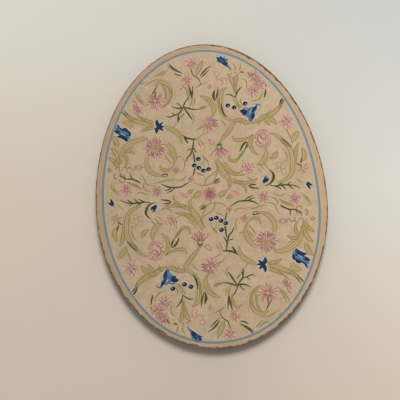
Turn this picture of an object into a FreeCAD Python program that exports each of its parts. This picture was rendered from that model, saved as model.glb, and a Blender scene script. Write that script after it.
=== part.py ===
"""Oval hand mirror without a handle, as a parametric FreeCAD document.

The mirror is a stack of laser-cut ovals. Counted from the decorated side down it holds
a printed sheet, its glue film, the face board, a second glue film, and a ring of the
same board. Inside the ring a mirror glass, silvered and painted on its back, is held
against the face board by a double-sided tape.

The oval is slightly egg-shaped: two half-ellipses of one width meet at its widest line,
a few millimetres below its middle, so the upper end is the slimmer one.

Frame: millimetres, +Z out of the decorated side, +Y along the long axis to the slimmer
end. The origin is the middle of the mirror side, on the plane that the ring rests on.
"""
import FreeCAD, Part
import math
import os
import Sketcher

from FreeCAD import Vector

doc = FreeCAD.newDocument("hand_mirror")

# ---------------------------------------------------------------- driving dimensions

SIZES = [
    # alias, value, meaning
    ("face_length", 100.0, "long axis of the oval, along Y"),
    ("face_width", 74.0, "short axis of the oval, along X"),
    ("widest_drop", 3.5, "from the middle of the oval down to its widest line"),
    ("paper_thick", 0.25, "printed art paper"),
    ("glue_thick", 0.05, "adhesive film, under the sheet and under the ring"),
    ("board_thick", 1.5, "face board"),
    ("ring_border", 8.0, "width of the ring on each axis, from rim to opening"),
    ("ring_round", 0.4, "rounding on the ring's two mirror-side edges"),
    ("glass_gap", 0.3, "clearance all round between the glass and the ring"),
    ("glass_thick", 1.5, "mirror glass"),
    ("glass_arris", 0.25, "seamed arris on both edges of the glass, across and down"),
    ("silver_thick", 0.04, "silver coat on the back of the glass"),
    ("paint_thick", 0.06, "paint coat over the silver"),
    ("tape_thick", 0.2, "double-sided tape behind the painted glass"),
    ("tape_inset", 2.5, "step from the painted coat's edge to the tape's edge"),
    ("mirror_recess", 0.25, "depth of the glass below the ring's rest plane"),
]

# Sizes that follow from the driving ones. An oval has a width, and an upper and a lower
# reach, which are measured from its widest line to its two tips.
DERIVED = [
    ("face_upper", "=face_length / 2 + widest_drop", "rim, upper reach"),
    ("face_lower", "=face_length / 2 - widest_drop", "rim, lower reach"),
    ("opening_width", "=face_width - 2 * ring_border", "ring opening, width"),
    ("opening_upper", "=face_upper - ring_border", "ring opening, upper reach"),
    ("opening_lower", "=face_lower - ring_border", "ring opening, lower reach"),
    ("glass_width", "=opening_width - 2 * glass_gap", "glass, width"),
    ("glass_upper", "=opening_upper - glass_gap", "glass, upper reach"),
    ("glass_lower", "=opening_lower - glass_gap", "glass, lower reach"),
    ("coat_width", "=glass_width - 2 * glass_arris", "flat back of the glass, width"),
    ("coat_upper", "=glass_upper - glass_arris", "flat back of the glass, upper reach"),
    ("coat_lower", "=glass_lower - glass_arris", "flat back of the glass, lower reach"),
    ("tape_width", "=coat_width - 2 * tape_inset", "tape, width"),
    ("tape_upper", "=coat_upper - tape_inset", "tape, upper reach"),
    ("tape_lower", "=coat_lower - tape_inset", "tape, lower reach"),
    ("silver_level", "=mirror_recess + glass_thick", "back of the glass"),
    ("paint_level", "=silver_level + silver_thick", "back of the silver"),
    ("tape_level", "=paint_level + paint_thick", "back of the paint"),
    ("board_level", "=tape_level + tape_thick", "underside of the face board"),
    ("ring_thick", "=board_level - glue_thick", "ring, up to its own glue film"),
    ("face_glue_level", "=board_level + board_thick", "top of the face board"),
    ("paper_level", "=face_glue_level + glue_thick", "underside of the printed sheet"),
]

sheet = doc.addObject("Spreadsheet::Sheet", "sizes")
for row, (alias, value, meaning) in enumerate(SIZES + DERIVED, start=1):
    sheet.set(f"A{row}", alias)
    sheet.set(f"B{row}", str(value))
    sheet.set(f"C{row}", meaning)
    sheet.setAlias(f"B{row}", alias)
doc.recompute()


# ---------------------------------------------------------------- how an oval piece is made

def origin_plane(body, role):
    """One of the body's own origin planes."""
    return next(plane for plane in body.Origin.OriginFeatures if plane.Role == role)


def draw_oval(sketch, oval):
    """Add the egg-shaped outline that the size names oval_width, oval_upper and oval_lower give."""
    centre = Vector(0, -sheet.get("widest_drop"), 0)
    side = centre + Vector(sheet.get(f"{oval}_width") / 2, 0, 0)
    start, end, middle = 1, 2, 3
    halves = []
    for reach, direction in ((f"{oval}_upper", 1), (f"{oval}_lower", -1)):
        tip = centre + Vector(0, direction * sheet.get(reach), 0)
        ellipse = Part.Ellipse(tip, side, centre)
        half = sketch.addGeometry(Part.ArcOfEllipse(ellipse, -math.pi / 2, math.pi / 2), False)
        sketch.exposeInternalGeometry(half)
        halves.append(half)
        long_axis = half + 1
        sketch.addConstraint(Sketcher.Constraint("PointOnObject", long_axis, start, -2))
        bind(sketch, reach, f"2 * sizes.{reach}", "Distance", long_axis, 2 * sheet.get(reach))

    upper, lower = halves
    short_axis = upper + 2
    sketch.addConstraint(Sketcher.Constraint("Coincident", lower, middle, upper, middle))
    sketch.addConstraint(Sketcher.Constraint("Coincident", lower, start, upper, end))
    sketch.addConstraint(Sketcher.Constraint("Coincident", lower, end, upper, start))
    sketch.addConstraint(Sketcher.Constraint("Horizontal", upper, start, upper, middle))
    sketch.addConstraint(Sketcher.Constraint("Horizontal", upper, end, upper, middle))
    sketch.addConstraint(Sketcher.Constraint("PointOnObject", upper, middle, -2))
    bind(sketch, f"{oval}_width", f"sizes.{oval}_width", "Distance", short_axis, 2 * side.x)
    bind(sketch, f"{oval}_drop", "sizes.widest_drop", "DistanceY", upper, middle, -1, 1, -centre.y)


def bind(sketch, name, expression, *constraint):
    """Add a named dimension to the sketch and bind it to the sheet."""
    number = sketch.addConstraint(Sketcher.Constraint(*constraint))
    sketch.renameConstraint(number, name)
    sketch.setExpression(f"Constraints.{name}", expression)


def oval_body(name, level):
    """An empty body for one piece, at its level in the stack."""
    body = doc.addObject("PartDesign::Body", name)
    body.Label = name
    body.setExpression(".Placement.Base.z", level)
    return body


def outline_sketch(body, name, ovals, height=None):
    """A sketch of one or more ovals, on the body's base plane or some height above it."""
    sketch = body.newObject("Sketcher::SketchObject", name)
    sketch.AttachmentSupport = [(origin_plane(body, "XY_Plane"), "")]
    sketch.MapMode = "FlatFace"
    if height:
        sketch.setExpression(".AttachmentOffset.Base.z", height)
    for oval in ovals:
        draw_oval(sketch, oval)
    return sketch


def oval_layer(name, ovals, thickness, level):
    """A flat oval piece, or a flat ring when a second oval, its opening, is given."""
    body = oval_body(name, level)
    pad = body.newObject("PartDesign::Pad", f"{name}_pad")
    pad.Profile = outline_sketch(body, f"{name}_outline", ovals)
    pad.setExpression("Length", thickness)
    doc.recompute()
    return body, pad


def edges_at(shape, height):
    """Names of the shape's edges that lie in one horizontal plane."""
    tolerance = 1e-6
    return [
        f"Edge{number}"
        for number, edge in enumerate(shape.Edges, start=1)
        if abs(edge.BoundBox.ZMin - height) < tolerance
        and abs(edge.BoundBox.ZMax - height) < tolerance
    ]


# ---------------------------------------------------------------- decorated side

# The printed sheet and its glue film are cut in one pass with the board, so all
# three share the board's outline.
printed_face, _ = oval_layer("printed_face", ["face"], "sizes.paper_thick", "sizes.paper_level")
face_glue, _ = oval_layer("face_glue", ["face"], "sizes.glue_thick", "sizes.face_glue_level")
face_board, _ = oval_layer("face_board", ["face"], "sizes.board_thick", "sizes.board_level")

# ---------------------------------------------------------------- ring and its glue film

ring_glue, _ = oval_layer(
    "ring_glue", ["face", "opening"], "sizes.glue_thick", "sizes.ring_thick")

# The ring's two edges on the mirror side are rounded by hand with abrasive.
mirror_ring, ring_pad = oval_layer(
    "mirror_ring", ["face", "opening"], "sizes.ring_thick", "0 mm")
ring_rounding = mirror_ring.newObject("PartDesign::Fillet", "ring_rounding")
ring_rounding.Base = (ring_pad, edges_at(ring_pad.Shape, 0))
ring_rounding.setExpression("Radius", "sizes.ring_round")

# ---------------------------------------------------------------- mirror inside the ring

mirror_tape, _ = oval_layer("mirror_tape", ["tape"], "sizes.tape_thick", "sizes.tape_level")
mirror_paint, _ = oval_layer("mirror_paint", ["coat"], "sizes.paint_thick", "sizes.paint_level")
mirror_silver, _ = oval_layer("mirror_silver", ["coat"], "sizes.silver_thick", "sizes.silver_level")

# Both edges of the glass are seamed: a narrow flat arris runs from the coat's outline,
# on either face, to the full outline of the glass.
mirror_glass = oval_body("mirror_glass", "sizes.mirror_recess")
glass_sections = [
    outline_sketch(mirror_glass, "front_flat", ["coat"]),
    outline_sketch(mirror_glass, "front_edge", ["glass"], "sizes.glass_arris"),
    outline_sketch(mirror_glass, "back_edge", ["glass"], "sizes.glass_thick - sizes.glass_arris"),
    outline_sketch(mirror_glass, "back_flat", ["coat"], "sizes.glass_thick"),
]
glass_loft = mirror_glass.newObject("PartDesign::AdditiveLoft", "glass_loft")
glass_loft.Profile = glass_sections[0]
glass_loft.Sections = glass_sections[1:]
glass_loft.Ruled = True

doc.recompute()

# ---------------------------------------------------------------- checks and files

pieces = [
    printed_face, face_glue, face_board, ring_glue, mirror_ring,
    mirror_tape, mirror_paint, mirror_silver, mirror_glass,
]

for item in doc.Objects:
    faults = [state for state in item.State if state in ("Invalid", "Error")]
    if faults:
        raise RuntimeError(f"{item.Name} is {', '.join(faults)}")

for piece in pieces:
    if piece.Shape.isNull() or not piece.Shape.isValid():
        raise RuntimeError(f"{piece.Label} has no valid shape")
    if len(piece.Shape.Solids) != 1:
        raise RuntimeError(f"{piece.Label} is not one solid")

os.makedirs("parts", exist_ok=True)
for piece in pieces:
    piece.Shape.exportStep(f"parts/{piece.Label}.step")
    box = piece.Shape.BoundBox
    print(
        f"{piece.Label:14s} {box.XLength:7.2f} x {box.YLength:7.2f} x {box.ZLength:5.2f} mm,"
        f" z {box.ZMin:5.2f} to {box.ZMax:5.2f}, {piece.Shape.Volume:9.1f} mm3")
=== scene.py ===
"""Looks of an oval hand mirror whose cover carries a printed crewel pattern.

The pieces follow the order in which the mirror is put together: boards, glue, mirror, paper,
and then the print, from its ground and border up to the last small highlights.
"""

import math
import random

import bpy
from mathutils import Matrix, Vector


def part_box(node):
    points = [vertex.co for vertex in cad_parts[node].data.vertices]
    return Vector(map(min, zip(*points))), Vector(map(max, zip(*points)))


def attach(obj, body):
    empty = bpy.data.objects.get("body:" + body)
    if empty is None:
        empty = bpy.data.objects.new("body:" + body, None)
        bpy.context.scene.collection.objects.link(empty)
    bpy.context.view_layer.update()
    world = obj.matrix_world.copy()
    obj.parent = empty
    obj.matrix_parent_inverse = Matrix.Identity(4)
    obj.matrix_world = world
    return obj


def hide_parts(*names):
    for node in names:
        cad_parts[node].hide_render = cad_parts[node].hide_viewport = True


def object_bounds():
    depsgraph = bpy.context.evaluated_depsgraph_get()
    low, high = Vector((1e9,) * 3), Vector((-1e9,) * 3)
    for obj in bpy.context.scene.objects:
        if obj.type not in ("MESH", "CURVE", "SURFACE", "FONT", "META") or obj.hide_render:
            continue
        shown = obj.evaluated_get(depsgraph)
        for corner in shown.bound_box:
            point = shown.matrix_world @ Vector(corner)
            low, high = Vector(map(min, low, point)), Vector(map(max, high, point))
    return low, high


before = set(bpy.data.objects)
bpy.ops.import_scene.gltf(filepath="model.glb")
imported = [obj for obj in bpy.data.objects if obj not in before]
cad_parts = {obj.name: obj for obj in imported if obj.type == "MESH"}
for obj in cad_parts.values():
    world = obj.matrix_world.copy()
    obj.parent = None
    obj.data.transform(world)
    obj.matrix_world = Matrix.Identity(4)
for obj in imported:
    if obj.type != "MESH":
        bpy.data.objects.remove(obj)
cad_low, cad_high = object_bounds()
bpy.context.scene.view_settings.view_transform = "Standard"


# ---------------------------------------------------------------- ring and face board
# Birch-faced board, 2 mm thick for the ring round the mirror and 1.5 mm for the face board.
# The laser that cuts them chars their edges, and abrasive rounds the ring's mirror side.

def linear(code):
    """Linear colour, with alpha, from an sRGB hex code."""
    channels = [int(code[i:i + 2], 16) / 255 for i in (1, 3, 5)]
    return [c / 12.92 if c < 0.04045 else ((c + 0.055) / 1.055) ** 2.4 for c in channels] + [1]


def new_material(name):
    """An empty node material and its tree."""
    material = bpy.data.materials.new(name)
    material.use_nodes = True
    material.node_tree.nodes.clear()
    return material, material.node_tree


def add(tree, kind, settings=None, links=None):
    """Add one node. Settings name its options or sockets, links name the sockets it is fed at."""
    node = tree.nodes.new(kind)
    for name, value in (settings or {}).items():
        if isinstance(name, str) and hasattr(node, name):
            setattr(node, name, value)
        else:
            node.inputs[name].default_value = value
    for name, source in (links or {}).items():
        tree.links.new(source, node.inputs[name])
    return node


def blend_colours(tree, share, first, second, mode="MIX"):
    """Colour mixed from two, each a hex code or a socket, by a share that is a number or a socket."""
    node = add(tree, "ShaderNodeMix", {"data_type": "RGBA", "blend_type": mode})
    for socket, value in ((0, share), (6, first), (7, second)):
        if isinstance(value, str):
            node.inputs[socket].default_value = linear(value)
        elif isinstance(value, (int, float)):
            node.inputs[socket].default_value = value
        else:
            tree.links.new(value, node.inputs[socket])
    return node.outputs[2]


def ramp(tree, source, stops):
    """Grey levels along a 0 to 1 source, as (position, level) stops."""
    node = add(tree, "ShaderNodeValToRGB", None, {0: source})
    elements = node.color_ramp.elements
    while len(elements) < len(stops):
        elements.new(0.5)
    for element, (position, level) in zip(elements, stops):
        element.position = position
        element.color = (level, level, level, 1)
    return node.outputs[0]


def in_millimetres(tree, stretch=(1, 1, 1)):
    """Object coordinates in millimetres, each axis multiplied by its stretch."""
    place = add(tree, "ShaderNodeTexCoord")
    scale = [1000 * s for s in stretch]
    return add(tree, "ShaderNodeMapping", {"Scale": scale}, {"Vector": place.outputs["Object"]}).outputs[0]


def paint(tree, settings, links):
    """Close the tree with one Principled shader."""
    shader = add(tree, "ShaderNodeBsdfPrincipled", settings, links)
    add(tree, "ShaderNodeOutputMaterial", None, {"Surface": shader.outputs[0]})


def charred_board(name, heart, wood, char, soot):
    """Pale birch on the faces with fine long grain, and a brown to black charred cut edge.

    The eye sees matt wood with short dark pores, and an uneven, slightly glossy char where
    the surface stands upright.
    """
    material, tree = new_material(name)
    grain_at = in_millimetres(tree, (2.2, 0.12, 1))
    long_grain = {"Scale": 1.0, "Detail": 6.0, "Roughness": 0.65}
    grain = add(tree, "ShaderNodeTexNoise", long_grain, {"Vector": grain_at})
    face = blend_colours(tree, ramp(tree, grain.outputs[0], [(0.35, 0), (0.65, 1)]), heart, wood)

    # The beam steps along the cut, so the char is ribbed across the edge about every 0.3 mm.
    spots_at = in_millimetres(tree)
    soot_spots = {"Scale": 0.9, "Detail": 5.0, "Roughness": 0.7}
    spots = add(tree, "ShaderNodeTexNoise", soot_spots, {"Vector": spots_at})
    ribs_at = in_millimetres(tree, (3.0, 3.0, 0.15))
    ribs = add(tree, "ShaderNodeTexNoise", {"Scale": 1.0, "Detail": 2.0}, {"Vector": ribs_at})
    burnt = blend_colours(tree, ramp(tree, spots.outputs[0], [(0.38, 0), (0.62, 1)]), soot, char)
    burnt = blend_colours(tree, ramp(tree, ribs.outputs[0], [(0.55, 0), (0.8, 0.6)]), burnt, wood)

    normal = add(tree, "ShaderNodeTexCoord").outputs["Normal"]
    facing = add(tree, "ShaderNodeSeparateXYZ", None, {0: normal})
    upright = add(tree, "ShaderNodeMath", {"operation": "ABSOLUTE"}, {0: facing.outputs[2]})
    is_cut = ramp(tree, upright.outputs[0], [(0.45, 1), (0.95, 0)])
    colour = blend_colours(tree, is_cut, face, burnt)
    ribbing = {"Strength": 0.5, "Distance": 0.00005}
    height = add(tree, "ShaderNodeBump", ribbing, {"Height": ribs.outputs[0]})
    paint(tree, {"Roughness": 0.72, "IOR": 1.5}, {"Base Color": colour, "Normal": height.outputs[0]})
    return material


def dress(node, material):
    """Put one material in every slot of a CAD node."""
    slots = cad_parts[node].material_slots
    for slot in slots:
        slot.material = material


dress("mirror_ring", charred_board("birch_board_scorched_ring", "#c9a878", "#b99463", "#5a4130", "#2b211b"))
dress("face_board", charred_board("birch_board_scorched_cover", "#c9a878", "#b99463", "#614632", "#30251d"))


# ---------------------------------------------------------------- glue films
# Two 0.05 mm films of adhesive, one under the paper and one between board and ring. They
# are cut with the board, so only their thin browned edge line shows.

def glue_film(name):
    """Clear acrylic glue, browned by the cut: a thin amber line with darker spots."""
    material, tree = new_material(name)
    spots = add(tree, "ShaderNodeTexNoise", {"Scale": 1.4, "Detail": 4.0}, {"Vector": in_millimetres(tree)})
    colour = blend_colours(tree, ramp(tree, spots.outputs[0], [(0.4, 0), (0.6, 1)]), "#7d5b3a", "#4c3626")
    paint(tree, {"Roughness": 0.45, "IOR": 1.48}, {"Base Color": colour})
    return material


dress("face_glue", glue_film("acrylic_glue_browned_cover"))
dress("ring_glue", glue_film("acrylic_glue_browned_ring"))


# ---------------------------------------------------------------- mirror in the ring
# Float glass, silvered and painted on its back, stuck to the face board by a double-sided
# tape. The arris round the glass is seamed with a fine belt.

def float_glass():
    """Clear soda-lime glass with a faint green body; its seamed arris is finely frosted."""
    material, tree = new_material("float_glass_seamed")
    normal = add(tree, "ShaderNodeTexCoord").outputs["Normal"]
    facing = add(tree, "ShaderNodeSeparateXYZ", None, {0: normal})
    upright = add(tree, "ShaderNodeMath", {"operation": "ABSOLUTE"}, {0: facing.outputs[2]})
    frosting = ramp(tree, upright.outputs[0], [(0.8, 0.35), (0.98, 0.0)])
    dust = add(tree, "ShaderNodeTexNoise", {"Scale": 0.15, "Detail": 3.0}, {"Vector": in_millimetres(tree)})
    tint = blend_colours(tree, dust.outputs[0], "#f4fbf6", "#eef8f2")
    paint(tree, {"IOR": 1.52, "Transmission Weight": 1.0}, {"Base Color": tint, "Roughness": frosting})
    return material


def silver_coat():
    """Chemically deposited silver: a bright, near neutral mirror with very faint clouding."""
    material, tree = new_material("silver_deposited")
    place = in_millimetres(tree)
    clouds = add(tree, "ShaderNodeTexNoise", {"Scale": 0.05, "Detail": 2.0}, {"Vector": place})
    colour = blend_colours(tree, clouds.outputs[0], "#f6f5f2", "#f1f1ee")
    paint(tree, {"Metallic": 1.0, "Roughness": 0.02}, {"Base Color": colour})
    return material


def backing_paint():
    """Grey-brown alkyd mirror paint, curtain coated: even, satin, with a slight orange peel."""
    material, tree = new_material("alkyd_mirror_paint")
    peel = add(tree, "ShaderNodeTexNoise", {"Scale": 0.8, "Detail": 2.0}, {"Vector": in_millimetres(tree)})
    colour = blend_colours(tree, peel.outputs[0], "#6a6660", "#74706a")
    orange_peel = {"Strength": 0.2, "Distance": 0.00002}
    height = add(tree, "ShaderNodeBump", orange_peel, {"Height": peel.outputs[0]})
    paint(tree, {"Roughness": 0.4, "IOR": 1.5}, {"Base Color": colour, "Normal": height.outputs[0]})
    return material


def foam_tape():
    """White double-sided tissue tape: matt, with short random fibres."""
    material, tree = new_material("tissue_tape_white")
    fibres_at = in_millimetres(tree, (1, 0.2, 1))
    fibres = add(tree, "ShaderNodeTexNoise", {"Scale": 2.0, "Detail": 5.0}, {"Vector": fibres_at})
    colour = blend_colours(tree, fibres.outputs[0], "#d9d6cc", "#efede6")
    paint(tree, {"Roughness": 0.85, "IOR": 1.47}, {"Base Color": colour})
    return material


# The face's oval in millimetres: two half-ellipses of one width meet at its widest line, which
# lies a little below the middle.
HALF_WIDTH = 1000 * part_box("printed_face")[1].x
HALF_LENGTH = 1000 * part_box("printed_face")[1].y
WIDEST_DROP = 3.5


def oval_point(angle, inset):
    """Point of the face's oval outline, moved in by an inset."""
    reach = HALF_LENGTH + math.copysign(WIDEST_DROP, math.sin(angle))
    x = (HALF_WIDTH - inset) * math.cos(angle)
    y = (reach - inset) * math.sin(angle) - WIDEST_DROP
    return x, y


def new_piece(name, verts, faces, uvs, material):
    """Mesh piece from millimetre points, with one UV map in millimetres."""
    mesh = bpy.data.meshes.new(name)
    mesh.from_pydata([(x / 1000, y / 1000, z / 1000) for x, y, z in verts], [], faces)
    layer = mesh.uv_layers.new(name="stitches")
    for loop in mesh.loops:
        layer.data[loop.index].uv = uvs[loop.vertex_index]
    mesh.materials.append(material)
    piece = bpy.data.objects.new(name, mesh)
    bpy.context.collection.objects.link(piece)
    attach(piece, "root")
    return piece


# In the CAD the glass touches its silver coat. Light can't be followed between two faces in
# one plane, so the glass is drawn anew with its back 0.01 mm short of the silver.
glass_low, glass_high = (1000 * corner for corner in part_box("mirror_glass"))
GLASS_ARRIS = 0.25
AIR_GAP = 0.01
OVAL_STEPS = 240
glass_inset = HALF_WIDTH - glass_high.x
glass_verts = []
for inset, z in (
    (glass_inset + GLASS_ARRIS, glass_low.z),
    (glass_inset, glass_low.z + GLASS_ARRIS),
    (glass_inset, glass_high.z - GLASS_ARRIS),
    (glass_inset + GLASS_ARRIS, glass_high.z - AIR_GAP),
):
    for i in range(OVAL_STEPS):
        glass_verts.append((*oval_point(math.tau * i / OVAL_STEPS, inset), z))
glass_faces = [tuple(reversed(range(OVAL_STEPS))), tuple(range(3 * OVAL_STEPS, 4 * OVAL_STEPS))]
for row in range(3):
    for i in range(OVAL_STEPS):
        here, after = row * OVAL_STEPS + i, row * OVAL_STEPS + (i + 1) % OVAL_STEPS
        glass_faces.append((here, after, after + OVAL_STEPS, here + OVAL_STEPS))
glass_map = [(x, y) for x, y, z in glass_verts]
glass = new_piece("mirror_glass_pane", glass_verts, glass_faces, glass_map, float_glass())
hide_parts("mirror_glass")

dress("mirror_silver", silver_coat())
dress("mirror_paint", backing_paint())
dress("mirror_tape", foam_tape())


# ---------------------------------------------------------------- printed paper
# Uncoated art paper printed with a picture of ecru cotton ground cloth. It is glued to the
# board and cut with it, so the print runs right out to the scorched rim.

# A wave texture of scale 1 repeats every 0.314 units, so this over a spacing is its scale.
WAVE_PERIOD = 0.314


def painted_light_across(tree, shade, light=1.0):
    """Grey level of painted light and shade, from shade at the left rim to light at the right one."""
    x = add(tree, "ShaderNodeSeparateXYZ", None, {0: in_millimetres(tree)}).outputs[0]
    across = add(tree, "ShaderNodeMapRange", {"From Min": -HALF_WIDTH, "From Max": HALF_WIDTH}, {0: x})
    middle = 0.4 * light + 0.6 * shade
    return ramp(tree, across.outputs[0], [(0.0, shade), (0.5, middle), (1.0, light)])


def cotton_ground():
    """Ecru plain weave as the print shows it: soft threads, slubs and a faint uneven tone.

    The printed threads are 0.5 mm apart. That is about twice a real cloth's spacing at this
    scale, so that they still show.
    """
    material, tree = new_material("art_paper_ecru_cloth_print")
    place = in_millimetres(tree)
    threads = []
    for direction in ("X", "Y"):
        wave = {"bands_direction": direction, "Scale": WAVE_PERIOD / 0.5, "Distortion": 1.2, "Detail": 2.0}
        threads.append(add(tree, "ShaderNodeTexWave", wave, {"Vector": place}).outputs["Fac"])
    weave = add(tree, "ShaderNodeMath", {"operation": "MULTIPLY"}, dict(enumerate(threads))).outputs[0]
    slubs_at = in_millimetres(tree, (0.25, 1.6, 1))
    slubs = add(tree, "ShaderNodeTexNoise", {"Scale": 1.0, "Detail": 4.0}, {"Vector": slubs_at}).outputs[0]
    tone = add(tree, "ShaderNodeTexNoise", {"Scale": 0.06, "Detail": 3.0}, {"Vector": place}).outputs[0]

    colour = blend_colours(tree, ramp(tree, tone, [(0.35, 0), (0.65, 1)]), "#c5aa8a", "#bea37f")
    stain = add(tree, "ShaderNodeTexNoise", {"Scale": 0.33, "Detail": 2.0}, {"Vector": place}).outputs[0]
    colour = blend_colours(tree, ramp(tree, stain, [(0.42, 0), (0.62, 0.55)]), colour, "#c9b48e")
    colour = blend_colours(tree, ramp(tree, weave, [(0.0, 0.0), (0.6, 0.35)]), colour, "#d0ba98")
    colour = blend_colours(tree, ramp(tree, slubs, [(0.5, 0), (0.75, 0.35)]), colour, "#a88f6f")
    rows = add(tree, "ShaderNodeTexNoise", {"Scale": 0.42, "Detail": 1.0}, {"Vector": place}).outputs[0]
    for middle in (0.44, 0.52, 0.60):
        row = ramp(tree, rows, [(middle - 0.03, 0), (middle, 0.55), (middle + 0.03, 0)])
        colour = blend_colours(tree, row, colour, "#ac8d66")
    # Painted shade: the cloth is darkened towards the left rim.
    colour = blend_colours(tree, 1.0, colour, painted_light_across(tree, 0.79), "MULTIPLY")
    height = add(tree, "ShaderNodeBump", {"Strength": 0.25, "Distance": 0.00002}, {"Height": weave})
    paint(tree, {"Roughness": 0.68, "IOR": 1.45}, {"Base Color": colour, "Normal": height.outputs[0]})
    return material


dress("printed_face", cotton_ground())


# ---------------------------------------------------------------- border of the print
# The print's own edge: a plain tan hem, stitched round the ground cloth, a grey-blue line
# inside it and a pale grey shade along the line. The cut isn't quite even with the print.

FACE_LEVEL = 1000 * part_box("printed_face")[1].z

# Distance from the rim in to the blue line, every 30 degrees from +X towards +Y.
LINE_INSETS = [2.7, 2.45, 2.3, 2.3, 2.15, 2.2, 2.35, 2.35, 1.7, 1.95, 1.8, 2.1]
LINE_WIDTH = 0.75
HEM_START = 0.2
SHADE_WIDTH = 0.45


def curve_through(values, position, closed=False):
    """Value at a position on the smooth curve through evenly spaced values."""
    count = len(values)
    before = min(int(position), count - (1 if closed else 2))
    t = position - before
    if closed:
        a, b, c, d = (values[(before + k) % count] for k in (-1, 0, 1, 2))
    else:
        a, b, c, d = (values[min(max(before + k, 0), count - 1)] for k in (-1, 0, 1, 2))
    return b + 0.5 * t * (c - a + t * (2 * a - 5 * b + 4 * c - d + t * (3 * (b - c) + d - a)))


def line_inset(angle):
    """Inset of the blue line's middle at an angle round the oval."""
    return curve_through(LINE_INSETS, angle % math.tau / math.tau * len(LINE_INSETS), closed=True)


def is_inside_line(x, y):
    """True for a point on the ground cloth, inside the blue line."""
    rise = y + WIDEST_DROP
    reach = HALF_LENGTH + math.copysign(WIDEST_DROP, rise)
    angle = math.atan2(rise / reach, x / HALF_WIDTH)
    inset = line_inset(angle) + LINE_WIDTH / 2
    return (x / (HALF_WIDTH - inset)) ** 2 + (rise / (reach - inset)) ** 2 < 1


# An ink shape starts just under the paper's surface. Its top is a rise above the surface, and
# a step more for each level, so that inks printed later lie over earlier ones.
INK_SINK = 0.01
INK_RISE = 0.010
INK_STEP = 0.005


def lay_band(name, outer, inner, level, material, steps=720):
    """Closed band of ink between two insets, each a function of the angle round the oval."""
    verts, faces, uvs = [], [], []
    top = FACE_LEVEL + INK_RISE + INK_STEP * level
    travelled = 0.0
    last = oval_point(0, 0)
    for i in range(steps):
        angle = math.tau * i / steps
        here = oval_point(angle, 0)
        travelled += math.dist(last, here)
        last = here
        for inset, z, across in (
            (outer(angle), FACE_LEVEL - INK_SINK, 0),
            (outer(angle) + 0.01, top, 0),
            (inner(angle) - 0.01, top, 1),
            (inner(angle), FACE_LEVEL - INK_SINK, 1),
        ):
            verts.append((*oval_point(angle, inset), z))
            uvs.append((travelled, across))
        for k in range(4):
            after = (i + 1) % steps
            faces.append((4 * i + k, 4 * after + k, 4 * after + (k + 1) % 4, 4 * i + (k + 1) % 4))
    return new_piece(name, verts, faces, uvs, material)


def stitches_uv(tree, stretch):
    """The piece's stitch map, each axis multiplied by its stretch."""
    place = add(tree, "ShaderNodeUVMap", {"uv_map": "stitches"})
    return add(tree, "ShaderNodeMapping", {"Scale": (*stretch, 1)}, {"Vector": place.outputs[0]}).outputs[0]


def hem_print():
    """Tan hem: long silky streaks round the rim, rust-tan outside and olive-tan inside."""
    material, tree = new_material("printed_hem_tan")
    streaks_at = stitches_uv(tree, (0.12, 7))
    silk = {"Scale": 1.0, "Detail": 4.0}
    streaks = add(tree, "ShaderNodeTexNoise", silk, {"Vector": streaks_at}).outputs[0]
    across = add(tree, "ShaderNodeSeparateXYZ", None, {0: stitches_uv(tree, (1, 1))}).outputs[1]
    colour = blend_colours(tree, ramp(tree, across, [(0.2, 0), (0.85, 1)]), "#c29c77", "#bba686")
    # Painted shade: the hem is darkened towards the left rim.
    colour = blend_colours(tree, 1.0, colour, painted_light_across(tree, 0.71), "MULTIPLY")
    colour = blend_colours(tree, ramp(tree, streaks, [(0.5, 0), (0.7, 0.55)]), colour, "#96785a")
    colour = blend_colours(tree, ramp(tree, streaks, [(0.3, 0.5), (0.45, 0)]), colour, "#c4ac8a")
    threads = add(tree, "ShaderNodeTexNoise", {"Scale": 3.0}, {"Vector": in_millimetres(tree)}).outputs[0]
    height = add(tree, "ShaderNodeBump", {"Strength": 0.2, "Distance": 0.00002}, {"Height": threads})
    paint(tree, {"Roughness": 0.66, "IOR": 1.45}, {"Base Color": colour, "Normal": height.outputs[0]})
    return material


def line_print(name, deep, pale, wear):
    """Twisted cord in the print: short slanted dark and light marks every 0.6 mm, partly worn."""
    material, tree = new_material(name)
    along = stitches_uv(tree, (1, 0.6))
    twist = add(tree, "ShaderNodeMapping", {"Rotation": (0, 0, 0.8)}, {"Vector": along})
    wave = {"Scale": WAVE_PERIOD / 0.6, "Distortion": 1.5, "Detail": 2.0}
    marks = add(tree, "ShaderNodeTexWave", wave, {"Vector": twist.outputs[0]}).outputs["Fac"]
    place = in_millimetres(tree)
    patches = add(tree, "ShaderNodeTexNoise", {"Scale": 0.5, "Detail": 4.0}, {"Vector": place})
    colour = blend_colours(tree, ramp(tree, marks, [(0.2, 0), (0.8, 1)]), deep, pale)
    colour = blend_colours(tree, ramp(tree, patches.outputs[0], [(0.5, 0), (0.75, 0.6)]), colour, wear)
    # Painted shade: the line is darkened towards the left rim.
    colour = blend_colours(tree, 1.0, colour, painted_light_across(tree, 0.84), "MULTIPLY")
    height = add(tree, "ShaderNodeBump", {"Strength": 0.2, "Distance": 0.00002}, {"Height": marks})
    paint(tree, {"Roughness": 0.62, "IOR": 1.45}, {"Base Color": colour, "Normal": height.outputs[0]})
    return material


lay_band(
    "print_hem_band", lambda a: HEM_START, lambda a: line_inset(a) - LINE_WIDTH / 2, 0, hem_print())
lay_band(
    "print_line_shade",
    lambda a: line_inset(a) + LINE_WIDTH / 2,
    lambda a: line_inset(a) + LINE_WIDTH / 2 + SHADE_WIDTH + 0.1 * math.sin(9 * a),
    0, line_print("printed_line_shade", "#b0a896", "#b6ab95", "#b9a88a"))
lay_band(
    "print_blue_line",
    lambda a: line_inset(a) - LINE_WIDTH / 2,
    lambda a: line_inset(a) + LINE_WIDTH / 2,
    1, line_print("printed_line_grey_blue", "#6c7275", "#828680", "#958c7b"))


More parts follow.
